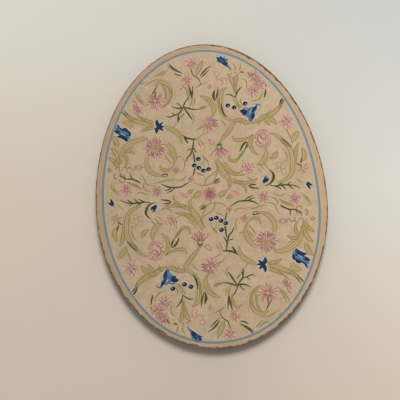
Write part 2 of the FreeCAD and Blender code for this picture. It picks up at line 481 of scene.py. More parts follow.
# ---------------------------------------------------------------- scorched rim
# The laser's heat browns the paper along the cut. The mark is a few tenths of a millimetre
# wide, wider at the upper right and round the lower rim, and broken where the paper stayed clean.

def scorch():
    """Charred paper edge: near black at the cut, coffee brown inwards, in ragged patches."""
    material, tree = new_material("paper_scorched_by_cut")
    patches_at = stitches_uv(tree, (0.7, 2.0))
    ragged = {"Scale": 1.0, "Detail": 5.0}
    patches = add(tree, "ShaderNodeTexNoise", ragged, {"Vector": patches_at}).outputs[0]
    colour = blend_colours(tree, ramp(tree, patches, [(0.4, 0), (0.66, 1)]), "#3d3226", "#8d7150")
    paint(tree, {"Roughness": 0.75, "IOR": 1.45}, {"Base Color": colour})
    return material


# Width of the mark every 30 degrees from +X towards +Y.
SCORCH_WIDTHS = [0.30, 0.42, 0.62, 0.30, 0.26, 0.26, 0.30, 0.45, 0.50, 0.48, 0.42, 0.34]
scorch_phases = [random.Random(31 + k).uniform(0, math.tau) for k in range(4)]


def scorch_width(angle):
    """Ragged width of the scorched mark at an angle round the oval."""
    base = curve_through(SCORCH_WIDTHS, angle % math.tau / math.tau * len(SCORCH_WIDTHS), closed=True)
    ripples = zip((23, 41, 67, 113), scorch_phases)
    ragged = sum(math.sin(count * angle + phase) for count, phase in ripples) / 4
    return max(0.08, base * (1 + 0.7 * ragged))


lay_band("paper_scorched_rim", lambda a: 0.01, scorch_width, 2, scorch(), steps=1440)


# ---------------------------------------------------------------- how a motif is printed
# Each motif is a set of brush-like strokes in the colour of one thread. The pattern has a
# half-turn symmetry about its middle flower, and the blue line cuts it off all round.

PRINT_MIDDLE = (-0.11, -1.20)


def trace(points, widths, step=0.3):
    """Smooth (x, y, width) samples through a stroke's points."""
    spans = len(points) - 1
    length = sum(math.dist(a, b) for a, b in zip(points, points[1:]))
    count = max(6, round(length / step))
    samples = []
    for i in range(count + 1):
        place = spans * i / count
        x = curve_through([p[0] for p in points], place)
        y = curve_through([p[1] for p in points], place)
        width = curve_through(widths, (len(widths) - 1) * i / count)
        samples.append((x, y, max(0.04, width)))
    return samples


def inside_runs(samples):
    """The stretches of a stroke that lie inside the blue line."""
    runs, run = [], []
    for sample in samples:
        if is_inside_line(sample[0], sample[1]):
            run.append(sample)
        else:
            runs.append(run)
            run = []
    runs.append(run)
    return [run for run in runs if len(run) >= 3]


def lay_ribbon(run, base, top, verts, faces, uvs):
    """Add one stretch of a stroke: a flat closed ribbon with slightly sloped sides."""
    start = len(verts)
    travelled = 0.0
    for i, (x, y, width) in enumerate(run):
        ahead = run[min(i + 1, len(run) - 1)]
        behind = run[max(i - 1, 0)]
        along = (ahead[0] - behind[0], ahead[1] - behind[1])
        size = math.hypot(*along) or 1.0
        side = (-along[1] / size, along[0] / size)
        travelled += math.dist((x, y), behind[:2])
        half = width / 2
        for offset, z in ((half, base), (half * 0.9, top), (-half * 0.9, top), (-half, base)):
            verts.append((x + side[0] * offset, y + side[1] * offset, z))
            uvs.append((travelled, offset))
    for i in range(len(run) - 1):
        here = start + 4 * i
        for k in range(4):
            after = (k + 1) % 4
            faces.append((here + k, here + after, here + 4 + after, here + 4 + k))
    end = start + 4 * (len(run) - 1)
    faces.append((start + 3, start + 2, start + 1, start))
    faces.append((end, end + 1, end + 2, end + 3))


def lay_ink(name, material, level, strokes):
    """Print strokes of one colour, and their half-turn copies, as one piece.

    A stroke is a list of widths along it and a list of points, in millimetres from the
    middle flower. Each stroke lies a little over the one before it.
    """
    middle_x, middle_y = PRINT_MIDDLE
    verts, faces, uvs = [], [], []
    base = FACE_LEVEL - INK_SINK
    for number, (widths, points) in enumerate(strokes):
        samples = trace(points, widths)
        top = FACE_LEVEL + INK_RISE + INK_STEP * (level + 0.9 * number / len(strokes))
        for turn in (1, -1):
            placed = [(turn * x + middle_x, turn * y + middle_y, width) for x, y, width in samples]
            for run in inside_runs(placed):
                lay_ribbon(run, base, top, verts, faces, uvs)
    return new_piece(name, verts, faces, uvs, material)


def thread_print(name, deep, tone, pale, pitch=0.35):
    """Wool thread as the print shows it: fine slanted stitches in three close tones.

    The stitches are 0.35 mm apart, about twice what real crewel wool has at this scale.
    """
    material, tree = new_material(name)
    along = stitches_uv(tree, (0.35, 1))
    lay = add(tree, "ShaderNodeMapping", {"Rotation": (0, 0, 0.5)}, {"Vector": along})
    wave = {"bands_direction": "Y", "Scale": WAVE_PERIOD / pitch, "Distortion": 2.0, "Detail": 2.0}
    stitches = add(tree, "ShaderNodeTexWave", wave, {"Vector": lay.outputs[0]}).outputs["Fac"]
    place = in_millimetres(tree)
    patches = add(tree, "ShaderNodeTexNoise", {"Scale": 0.8, "Detail": 3.0}, {"Vector": place})
    colour = blend_colours(tree, ramp(tree, stitches, [(0.1, 0), (0.75, 1)]), deep, tone)
    colour = blend_colours(tree, ramp(tree, patches.outputs[0], [(0.48, 0), (0.7, 0.7)]), colour, pale)
    height = add(tree, "ShaderNodeBump", {"Strength": 0.25, "Distance": 0.00002}, {"Height": stitches})
    finish = {"Roughness": 0.7, "IOR": 1.45, "Specular IOR Level": 0.2}
    # Painted light and shade: the wool is darker at the left rim and lighter at the right one.
    colour = blend_colours(tree, 1.0, colour, painted_light_across(tree, 0.9, 1.1), "MULTIPLY")
    paint(tree, finish, {"Base Color": colour, "Normal": height.outputs[0]})
    return material


# ---------------------------------------------------------------- scrolls
# The large scrolls and acanthus leaves are worked in two rows: a gold outline with a paler
# heart. They are printed first, because flowers and sprigs lie over them.

SCROLLS = [
    # round the left daisy
    ([0.2, 0.9, 1.3, 1.2, 0.6, 0.1],
     [(-13.3, 18.7), (-12.2, 17.5), (-11.0, 15.8), (-10.4, 14.0), (-10.3, 12.2), (-11.1, 10.2)]),
    ([0.3, 0.9, 1.1, 1.1, 0.9, 0.5, 0.1],
     [(-18.9, 14.6), (-19.5, 13.0), (-19.5, 11.2), (-18.8, 9.6), (-17.6, 8.4), (-16.0, 7.6), (-14.3, 7.3)]),
    ([0.1, 0.5, 0.6, 0.4, 0.1], [(-15.2, 11.1), (-14.9, 9.9), (-13.8, 9.2), (-12.4, 9.3), (-11.2, 10.2)]),
    # upper left scroll with its side leaves
    ([0.1, 0.9, 1.2, 1.5, 1.7, 1.2, 0.6, 0.1],
     [(-18.4, 20.3), (-20.2, 20.3), (-22.2, 20.0), (-24.2, 19.2), (-25.9, 18.0), (-27.1, 16.5),
      (-27.8, 14.8), (-27.9, 12.8)]),
    ([0.6, 0.7, 0.5, 0.1], [(-26.8, 17.0), (-25.4, 16.6), (-24.2, 16.4), (-23.2, 15.5)]),
    ([0.5, 0.7, 0.5, 0.1], [(-27.0, 16.0), (-26.1, 14.6), (-26.0, 13.0), (-26.7, 11.3)]),
    ([0.1, 0.8, 1.0, 0.6, 0.1],
     [(-31.0, 18.4), (-29.9, 17.3), (-29.0, 15.7), (-28.6, 14.0), (-28.4, 12.4)]),
    ([0.1, 0.8, 0.6, 0.1], [(-31.8, 15.2), (-30.4, 14.0), (-29.3, 12.8), (-28.4, 11.6)]),
    ([0.1, 0.9, 0.9, 0.1], [(-30.6, 22.6), (-29.6, 21.4), (-28.8, 19.9), (-28.4, 18.3)]),
    ([0.1, 1.2, 1.4, 0.3], [(-26.6, 26.6), (-25.1, 26.4), (-24.0, 25.6), (-23.7, 24.3)]),
    # middle fountain
    ([0.3, 0.9, 1.3, 1.5, 1.4, 0.8, 0.6, 0.1],
     [(3.3, 11.5), (3.6, 10.0), (4.1, 8.5), (4.9, 6.9), (6.0, 5.2), (6.5, 3.6), (6.6, 2.2), (6.0, 0.9)]),
    ([0.3, 0.8, 0.9, 0.6, 0.1], [(4.6, 9.6), (5.9, 7.8), (7.6, 6.3), (9.6, 5.6), (11.8, 5.2)]),
    ([0.6, 1.0, 0.8, 0.7, 0.5, 0.1],
     [(6.2, 4.6), (8.0, 3.6), (10.0, 2.9), (12.2, 2.6), (14.3, 3.0), (15.7, 3.8)]),
    ([0.3, 0.6, 0.6, 0.4, 0.1], [(8.0, 3.4), (9.8, 2.8), (11.0, 1.8), (11.6, 0.6), (11.7, -0.8)]),
    ([0.1, 0.5, 0.5, 0.5, 0.1], [(7.4, 12.3), (7.4, 10.8), (8.7, 10.1), (10.1, 10.7), (11.0, 12.4)]),
    ([0.1, 1.2, 0.9, 0.1], [(2.5, -0.8), (3.5, -0.4), (4.5, 0.1), (5.6, 0.9)]),
    ([0.1, 0.8, 0.1], [(5.2, -2.0), (6.2, -1.4), (7.3, -0.9)]),
    # round the rosette
    ([0.1, 0.7, 0.7, 0.4, 0.1], [(8.9, 18.6), (9.6, 17.3), (11.3, 16.9), (13.4, 17.3), (15.7, 18.4)]),
    ([0.3, 0.8, 0.8, 0.6, 0.1], [(16.0, 18.2), (14.8, 16.6), (14.5, 14.7), (15.1, 12.9), (16.6, 11.3)]),
    ([0.2, 0.8, 1.0, 1.3, 1.4, 1.2, 0.9, 0.6, 0.1],
     [(21.6, 18.4), (23.6, 17.0), (25.4, 15.0), (26.9, 12.6), (27.5, 10.0), (27.4, 7.4), (27.0, 5.2),
      (25.9, 3.4), (24.0, 2.3), (22.2, 1.8)]),
    ([0.1, 1.2, 1.1, 0.1], [(27.8, 14.4), (28.7, 16.0), (29.8, 17.3), (30.3, 18.2)]),
    ([0.2, 0.7, 0.7, 0.1], [(30.0, 14.2), (29.0, 12.3), (28.6, 10.3), (28.4, 8.0)]),
    ([0.1, 0.9, 0.9, 0.1], [(30.7, 12.5), (31.4, 10.9), (31.2, 9.2), (30.5, 7.9)]),
    ([0.2, 1.0, 1.4, 1.0, 0.1], [(19.3, 13.4), (19.2, 11.4), (18.4, 9.6), (17.2, 8.6), (15.8, 8.2)]),
    ([0.1, 0.8, 0.9, 0.1], [(20.3, 9.8), (21.4, 10.2), (22.3, 11.1), (22.9, 12.1)]),
    # ring round the upper left bloom
    ([0.1, 0.8, 1.6, 2.0, 2.0, 1.5, 0.7, 0.1],
     [(-14.9, 38.4), (-13.3, 39.3), (-11.6, 38.4), (-10.6, 36.9), (-10.4, 35.1), (-10.7, 33.2),
      (-11.7, 31.6), (-13.3, 30.4)]),
    # stems past the dark star
    ([0.1, 0.7, 1.0, 1.1, 0.6],
     [(-26.6, 30.4), (-24.6, 28.3), (-22.5, 27.0), (-19.8, 25.7), (-16.2, 24.0)]),
    ([0.1, 0.7, 0.8, 0.5], [(-20.8, 28.0), (-19.1, 26.7), (-17.5, 25.9), (-16.0, 25.3)]),
    ([0.1, 0.6, 0.7, 0.4], [(-20.8, 22.8), (-19.3, 23.5), (-17.7, 23.8), (-16.2, 23.8)]),
    ([0.5, 1.0, 1.1, 0.7, 0.1], [(-13.0, 24.0), (-11.0, 22.9), (-9.1, 21.6), (-8.0, 19.9), (-7.7, 17.5)]),
    # upper middle
    ([0.1, 0.8, 1.2, 1.2, 0.9, 0.1],
     [(-0.4, 33.2), (1.4, 32.3), (2.7, 31.0), (3.5, 29.3), (3.8, 27.6), (2.8, 25.6)]),
    ([0.1, 0.5, 0.4, 0.1], [(-5.2, 36.8), (-4.4, 35.4), (-4.1, 33.8), (-4.3, 32.2)]),
    ([0.1, 0.8, 1.4, 1.3, 1.0, 0.8, 0.6],
     [(8.6, 35.2), (7.1, 34.3), (6.2, 32.6), (5.9, 30.4), (6.0, 28.0), (6.9, 25.6), (9.2, 23.7)]),
    ([0.1, 1.0, 0.9, 0.1], [(1.5, 45.4), (0.6, 43.6), (-0.3, 42.0), (-1.0, 40.3)]),
    ([0.1, 0.9, 0.7, 0.2], [(9.4, 39.8), (10.3, 38.2), (10.9, 36.0), (11.1, 33.0)]),
    ([0.1, 0.8, 0.6, 0.2], [(12.9, 39.7), (12.0, 38.2), (11.5, 36.0), (11.3, 33.2)]),
    # stem of the tulip up to the acanthus, and the stem beyond it
    ([0.3, 0.8, 1.0, 1.0], [(4.7, 17.0), (6.1, 18.4), (7.7, 20.1), (9.1, 21.9), (10.2, 23.6)]),
    ([0.2, 0.8, 1.0, 0.9, 0.6], [(26.3, 28.4), (24.7, 26.5), (22.8, 25.0), (20.6, 24.0), (17.6, 23.0)]),
    ([0.6, 0.9, 0.8, 0.4], [(9.6, 23.8), (12.0, 23.6), (14.2, 22.6), (17.8, 23.1)]),
    ([0.2, 1.0, 0.1], [(21.0, 24.0), (22.4, 22.7), (23.6, 21.1)]),
    ([0.2, 0.7, 0.1], [(19.2, 23.4), (20.5, 22.2), (21.4, 20.8)]),
]


def wider(strokes, margin):
    """The same strokes with a margin all along both edges."""
    return [([w + 2 * margin for w in widths], points) for widths, points in strokes]


def thinner(strokes, share):
    """The same strokes, each a share as wide."""
    return [([share * w for w in widths], points) for widths, points in strokes]


def beside(strokes, share, width):
    """Thin rows along both sides of each stroke, at a share of its half width from its middle."""
    rows = []
    for widths, points in strokes:
        samples = trace(points, widths, step=0.9)
        for hand in (1, -1):
            row = []
            for i, (x, y, w) in enumerate(samples):
                ahead, behind = samples[min(i + 1, len(samples) - 1)], samples[max(i - 1, 0)]
                along = (ahead[0] - behind[0], ahead[1] - behind[1])
                size = math.hypot(*along)
                shift = hand * share * w / 2 / size
                row.append((x - along[1] * shift, y + along[0] * shift))
            rows.append(([0.6 * width, width, 0.6 * width], row))
    return rows


# The bodies come first, then their gold edges, thin plumes beside them, and a vein in each.
SCROLL_MARGIN = 0.08
EDGE_WIDTH = 0.32
PLUME_WIDTH = 0.24
VEIN_SHARE = 0.2
full_scrolls = wider(SCROLLS, SCROLL_MARGIN)
lay_ink(
    "print_scroll_bodies", thread_print("printed_wool_straw", "#ad986a", "#b9a578", "#b29d70", pitch=0.3),
    0, full_scrolls)
lay_ink(
    "print_scroll_edges", thread_print("printed_wool_gold", "#856d3c", "#937b48", "#8d784e"),
    1, beside(full_scrolls, 0.92, EDGE_WIDTH))
lay_ink(
    "print_scroll_plumes", thread_print("printed_wool_sand", "#a38c66", "#ac9670", "#b09c78"),
    0.5, beside(SCROLLS, 1.8, PLUME_WIDTH))
lay_ink(
    "print_scroll_veins", thread_print("printed_wool_fawn", "#947e50", "#a18b5c", "#998760"),
    1.5, thinner(SCROLLS, VEIN_SHARE))


# ---------------------------------------------------------------- thin stems and leaves
# Single rows of stem stitch in gold, olive and rust, which join the scrolls to the flowers
# and fill the spaces between them.

GOLD_STEMS = [
    ([0.3, 0.45, 0.3], [(-13.5, 14.3), (-12.4, 12.5), (-11.4, 11.1)]),
    ([0.1, 0.4, 0.2], [(-13.0, 15.6), (-11.9, 14.2), (-11.2, 12.9)]),
    ([0.1, 0.9, 0.9, 0.2], [(-26.6, 6.6), (-24.6, 5.5), (-22.9, 4.6), (-21.8, 3.4)]),
    ([0.2, 0.4, 0.4, 0.3, 0.1], [(-21.4, 8.5), (-20.7, 6.8), (-20.0, 5.2), (-18.3, 4.5), (-16.0, 4.0)]),
    ([0.2, 0.7, 0.5, 0.1], [(-20.8, 5.5), (-21.2, 4.3), (-20.3, 3.2), (-18.6, 2.4)]),
    ([0.3, 0.45, 0.4], [(3.4, 8.4), (2.0, 6.7), (0.0, 5.7), (-1.0, 4.5), (-1.5, 2.7)]),
    ([0.3, 0.45, 0.4], [(-4.8, 4.6), (-3.3, 3.3), (0.0, 3.1), (1.8, 4.4), (3.2, 7.5)]),
    ([0.1, 0.35, 0.35, 0.1], [(2.4, 10.8), (3.2, 8.3), (4.4, 6.1), (5.8, 4.3)]),
    ([0.1, 0.4, 0.4, 0.4, 0.2], [(6.5, 7.1), (8.0, 6.1), (10.0, 6.2), (11.7, 7.4), (11.4, 10.0)]),
    ([0.1, 0.35, 0.3, 0.1], [(5.2, 10.6), (6.0, 9.4), (7.2, 8.2), (7.6, 7.2)]),
    ([0.1, 0.4, 0.3, 0.1], [(6.0, 0.9), (5.2, 0.2), (4.2, -0.9), (2.6, -1.6)]),
    ([0.1, 0.35, 0.4, 0.3], [(-2.3, 18.7), (-1.2, 19.7), (0.2, 20.4), (1.4, 20.6)]),
    ([0.1, 0.5, 0.4, 0.1], [(-12.7, 38.0), (-11.7, 36.3), (-11.7, 34.0), (-12.8, 31.7)]),
    ([0.1, 0.6, 0.7, 0.6, 0.1],
     [(-13.6, 39.1), (-11.0, 37.6), (-9.8, 35.4), (-10.2, 33.0), (-12.2, 31.0)]),
    ([0.1, 0.5, 0.6, 0.1], [(6.6, 33.6), (5.8, 31.6), (5.7, 29.2), (6.0, 27.2)]),
    ([0.1, 0.5, 0.1], [(1.2, 32.0), (2.8, 30.8), (3.6, 28.8)]),
    ([0.1, 0.6, 0.3], [(-14.8, 41.5), (-13.1, 42.1), (-11.4, 43.3)]),
    ([0.1, 0.5, 0.2], [(-13.0, 41.2), (-11.7, 42.1), (-10.4, 43.4)]),
    ([0.1, 0.6, 0.4, 0.1], [(-2.9, 33.2), (-3.2, 31.8), (-3.8, 30.4), (-4.6, 28.6)]),
    ([0.1, 0.5, 0.1], [(-2.1, 32.8), (-2.4, 31.2), (-3.2, 29.8)]),
    ([0.1, 0.4, 0.4, 0.1], [(-3.9, 28.0), (-3.2, 26.6), (-3.2, 25.0), (-4.0, 23.4)]),
    ([0.1, 0.4, 0.1], [(-9.0, 24.9), (-9.6, 23.6), (-10.7, 22.9)]),
    ([0.3, 0.5, 0.5], [(10.2, 31.4), (11.0, 29.6), (12.2, 27.6)]),
    ([0.3, 0.4, 0.4], [(11.2, 31.2), (11.8, 29.5), (12.9, 27.6)]),
    ([0.1, 0.5, 0.4, 0.1], [(13.2, 31.2), (12.6, 30.2), (13.2, 28.6), (14.6, 27.8)]),
    ([0.1, 0.4, 0.4, 0.1], [(20.2, 33.2), (19.6, 31.2), (18.2, 30.0), (16.3, 29.7)]),
    ([0.1, 0.4, 0.4, 0.1], [(11.1, 43.9), (11.8, 42.5), (12.0, 41.3), (11.4, 40.2)]),
    ([0.1, 0.5, 0.1], [(13.9, 43.3), (13.7, 41.8), (13.0, 40.4)]),
    ([0.1, 0.4, 0.4, 0.1], [(13.9, 38.0), (15.0, 36.8), (15.2, 35.2), (14.6, 33.6)]),
    ([0.3, 0.5, 0.3], [(26.3, 20.0), (27.0, 18.0), (27.9, 15.2)]),
    ([0.2, 0.45, 0.2], [(25.9, 27.0), (23.6, 24.8), (21.4, 23.4)]),
    ([0.1, 0.5, 0.5, 0.1], [(15.4, 22.0), (17.6, 22.2), (19.4, 23.2), (21.4, 24.8)]),
    ([0.1, 0.4, 0.4, 0.1], [(22.4, 26.4), (20.7, 25.0), (19.2, 24.7), (17.8, 23.7)]),
    ([0.1, 0.5, 0.1], [(16.8, 8.9), (17.3, 7.5), (18.3, 6.3)]),
    ([0.1, 0.5, 0.1], [(17.9, 9.1), (18.7, 7.7), (19.5, 6.7)]),
    ([0.1, 0.4, 0.1], [(15.9, 7.3), (16.5, 6.4), (17.4, 5.7)]),
    ([0.1, 0.4, 0.4, 0.1], [(24.0, 13.4), (25.3, 11.8), (25.8, 9.8), (25.2, 8.0)]),
    ([0.1, 0.4, 0.1], [(5.3, 24.4), (6.6, 23.2), (7.8, 21.6)]),
    ([0.1, 0.4, 0.3], [(-3.0, 21.0), (-2.2, 21.8), (-1.2, 22.2)]),
    ([0.1, 0.5, 0.2], [(12.4, 4.9), (13.0, 4.0), (14.2, 3.4)]),
    ([0.1, 0.4, 0.3, 0.1], [(-10.3, 13.2), (-9.4, 13.2), (-8.6, 13.4), (-8.0, 13.2)]),
    ([0.1, 0.4, 0.3, 0.1], [(-7.8, 13.2), (-7.2, 11.0), (-7.6, 9.4), (-8.4, 8.2)]),
    ([0.1, 0.4, 0.4, 0.1], [(-12.2, 6.3), (-9.4, 5.4), (-7.8, 5.9), (-6.9, 7.3)]),
    ([0.1, 0.5, 0.5, 0.1], [(-17.9, 5.2), (-15.5, 5.4), (-13.4, 5.9), (-11.0, 5.2)]),
    ([0.1, 0.4, 0.1], [(-29.9, -0.6), (-28.9, -1.7), (-27.6, -2.8)]),
    ([0.1, 0.5, 0.5, 0.1], [(-31.5, 6.8), (-31.4, 5.0), (-30.4, 3.6), (-28.9, 2.2)]),
    ([0.1, 0.3, 0.3, 0.1], [(-30.8, 6.9), (-30.8, 5.3), (-29.9, 3.8), (-28.7, 2.9)]),
    ([0.1, 0.4, 0.4, 0.1], [(-24.0, 1.9), (-22.6, 2.6), (-21.0, 2.2), (-20.0, 1.3)]),
    ([0.1, 0.5, 0.1], [(-30.1, 20.5), (-29.5, 19.4), (-29.4, 18.2)]),
    ([0.1, 0.4, 0.4, 0.1], [(-28.3, 15.0), (-29.6, 13.6), (-29.9, 12.4), (-29.4, 11.3)]),
    ([0.1, 0.4, 0.1], [(-24.9, 17.8), (-24.0, 17.5), (-23.1, 17.9)]),
    ([0.1, 0.5, 0.5, 0.1], [(-22.6, 36.3), (-21.8, 38.0), (-19.6, 39.3), (-17.4, 39.9)]),
    ([0.1, 0.4, 0.4, 0.1], [(-18.6, 38.4), (-16.6, 39.4), (-14.6, 40.2), (-12.6, 40.4)]),
    ([0.1, 0.4, 0.1], [(-7.2, 35.8), (-6.0, 36.6), (-5.0, 38.2)]),
]
OLIVE_LEAVES = [
    ([0.1, 0.4, 0.4, 0.1], [(-21.8, 36.8), (-21.3, 35.0), (-20.2, 33.1), (-18.2, 31.2)]),
    ([0.1, 0.35, 0.4, 0.1], [(-20.9, 36.7), (-20.4, 34.8), (-19.4, 33.0), (-17.8, 31.7)]),
    ([0.1, 0.9, 1.0, 0.1], [(-1.6, 28.6), (-0.4, 28.9), (0.7, 29.2), (1.6, 29.3)]),
    ([0.1, 0.9, 0.7, 0.1], [(-10.4, 44.8), (-8.8, 43.7), (-7.2, 42.6), (-5.8, 41.6)]),
    ([0.1, 0.5, 0.3, 0.1], [(-1.8, 36.0), (-0.6, 36.8), (1.0, 37.4), (2.5, 38.0)]),
    ([0.2, 0.9, 0.7, 0.1], [(12.7, 13.8), (11.6, 12.4), (10.4, 11.1), (8.6, 10.3)]),
    ([0.1, 1.0, 0.9, 0.1], [(23.9, 16.1), (25.0, 14.9), (26.2, 13.8), (27.5, 12.9)]),
    ([0.2, 0.6, 0.2], [(24.9, 26.4), (25.7, 27.6), (26.6, 28.9)]),
    ([0.3, 1.1, 0.3], [(3.5, 15.5), (4.5, 16.2), (5.2, 15.4)]),
    ([0.1, 0.5, 0.3], [(4.2, 17.0), (4.8, 16.6), (5.2, 15.8)]),
    ([0.1, 0.4, 0.1], [(2.4, 10.9), (3.1, 9.4), (3.9, 8.0)]),
    ([0.2, 0.5, 0.3, 0.1], [(-26.9, 30.9), (-25.4, 28.8), (-23.9, 27.4), (-22.2, 26.6)]),
    ([0.2, 0.5, 0.3, 0.1], [(-25.8, 30.8), (-24.4, 28.9), (-22.9, 27.6), (-21.0, 26.8)]),
    ([0.2, 0.5, 0.3, 0.1], [(-22.5, 29.7), (-21.4, 28.5), (-20.2, 27.4), (-18.8, 26.7)]),
]
RUST_STROKES = [
    ([0.1, 0.45, 0.1], [(-2.5, 18.8), (-2.0, 17.0), (-1.5, 15.5)]),
    ([0.1, 0.35, 0.1], [(-1.8, 18.5), (-1.0, 17.3), (-0.6, 16.0)]),
    ([0.1, 0.7, 0.6, 0.1], [(-1.2, 13.2), (-0.8, 12.2), (-0.1, 11.2), (0.6, 10.2)]),
    ([0.1, 0.4, 0.1], [(10.9, 24.2), (11.6, 23.2), (12.0, 21.8)]),
    ([0.1, 0.4, 0.1], [(12.0, 24.4), (12.6, 23.0), (13.2, 21.6)]),
    ([0.1, 0.4, 0.1], [(17.0, 23.6), (17.7, 22.4), (17.9, 21.0)]),
    ([0.1, 0.4, 0.1], [(10.6, 24.6), (10.0, 23.6), (9.8, 22.4)]),
    ([0.2, 0.5, 0.4, 0.1], [(-3.6, 7.6), (-2.7, 6.8), (-1.8, 6.5), (-1.1, 5.7)]),
    ([0.1, 0.5, 0.1], [(-22.7, 33.9), (-21.9, 33.1), (-21.4, 32.2)]),
    ([0.1, 0.4, 0.1], [(2.9, 35.0), (3.0, 36.0), (3.2, 37.0)]),
    ([0.1, 0.45, 0.1], [(9.9, 39.8), (10.5, 39.95), (11.0, 39.8)]),
    ([0.1, 0.45, 0.1], [(11.4, 40.0), (12.0, 40.1), (12.5, 39.9)]),
    ([0.1, 0.45, 0.1], [(13.2, 40.1), (14.0, 40.3), (14.8, 40.1)]),
    ([0.1, 0.45, 0.1], [(15.9, 40.0), (16.5, 39.3), (17.1, 38.4)]),
    ([0.1, 0.5, 0.1], [(-2.9, 44.4), (-2.2, 43.6), (-1.5, 43.4)]),
    ([0.1, 0.4, 0.1], [(-7.6, 31.4), (-8.1, 31.3), (-8.6, 30.9)]),
]
lay_ink(
    "print_gold_stems", thread_print("printed_wool_old_gold", "#8a7646", "#9a8556", "#97865c"),
    2, GOLD_STEMS)
lay_ink(
    "print_olive_leaves", thread_print("printed_wool_olive", "#787046", "#8b8257", "#958a61"),
    3, OLIVE_LEAVES)
lay_ink(
    "print_rust_strokes", thread_print("printed_wool_rust", "#8e6b4c", "#a07c5a", "#aa8a68"),
    3, RUST_STROKES)


# ---------------------------------------------------------------- dark green sprigs
# Sprigs and narrow leaves in the darkest green wool: short, firm strokes that taper at both
# ends, laid over the scrolls. Tight stitches draw each one in to a share of its width.

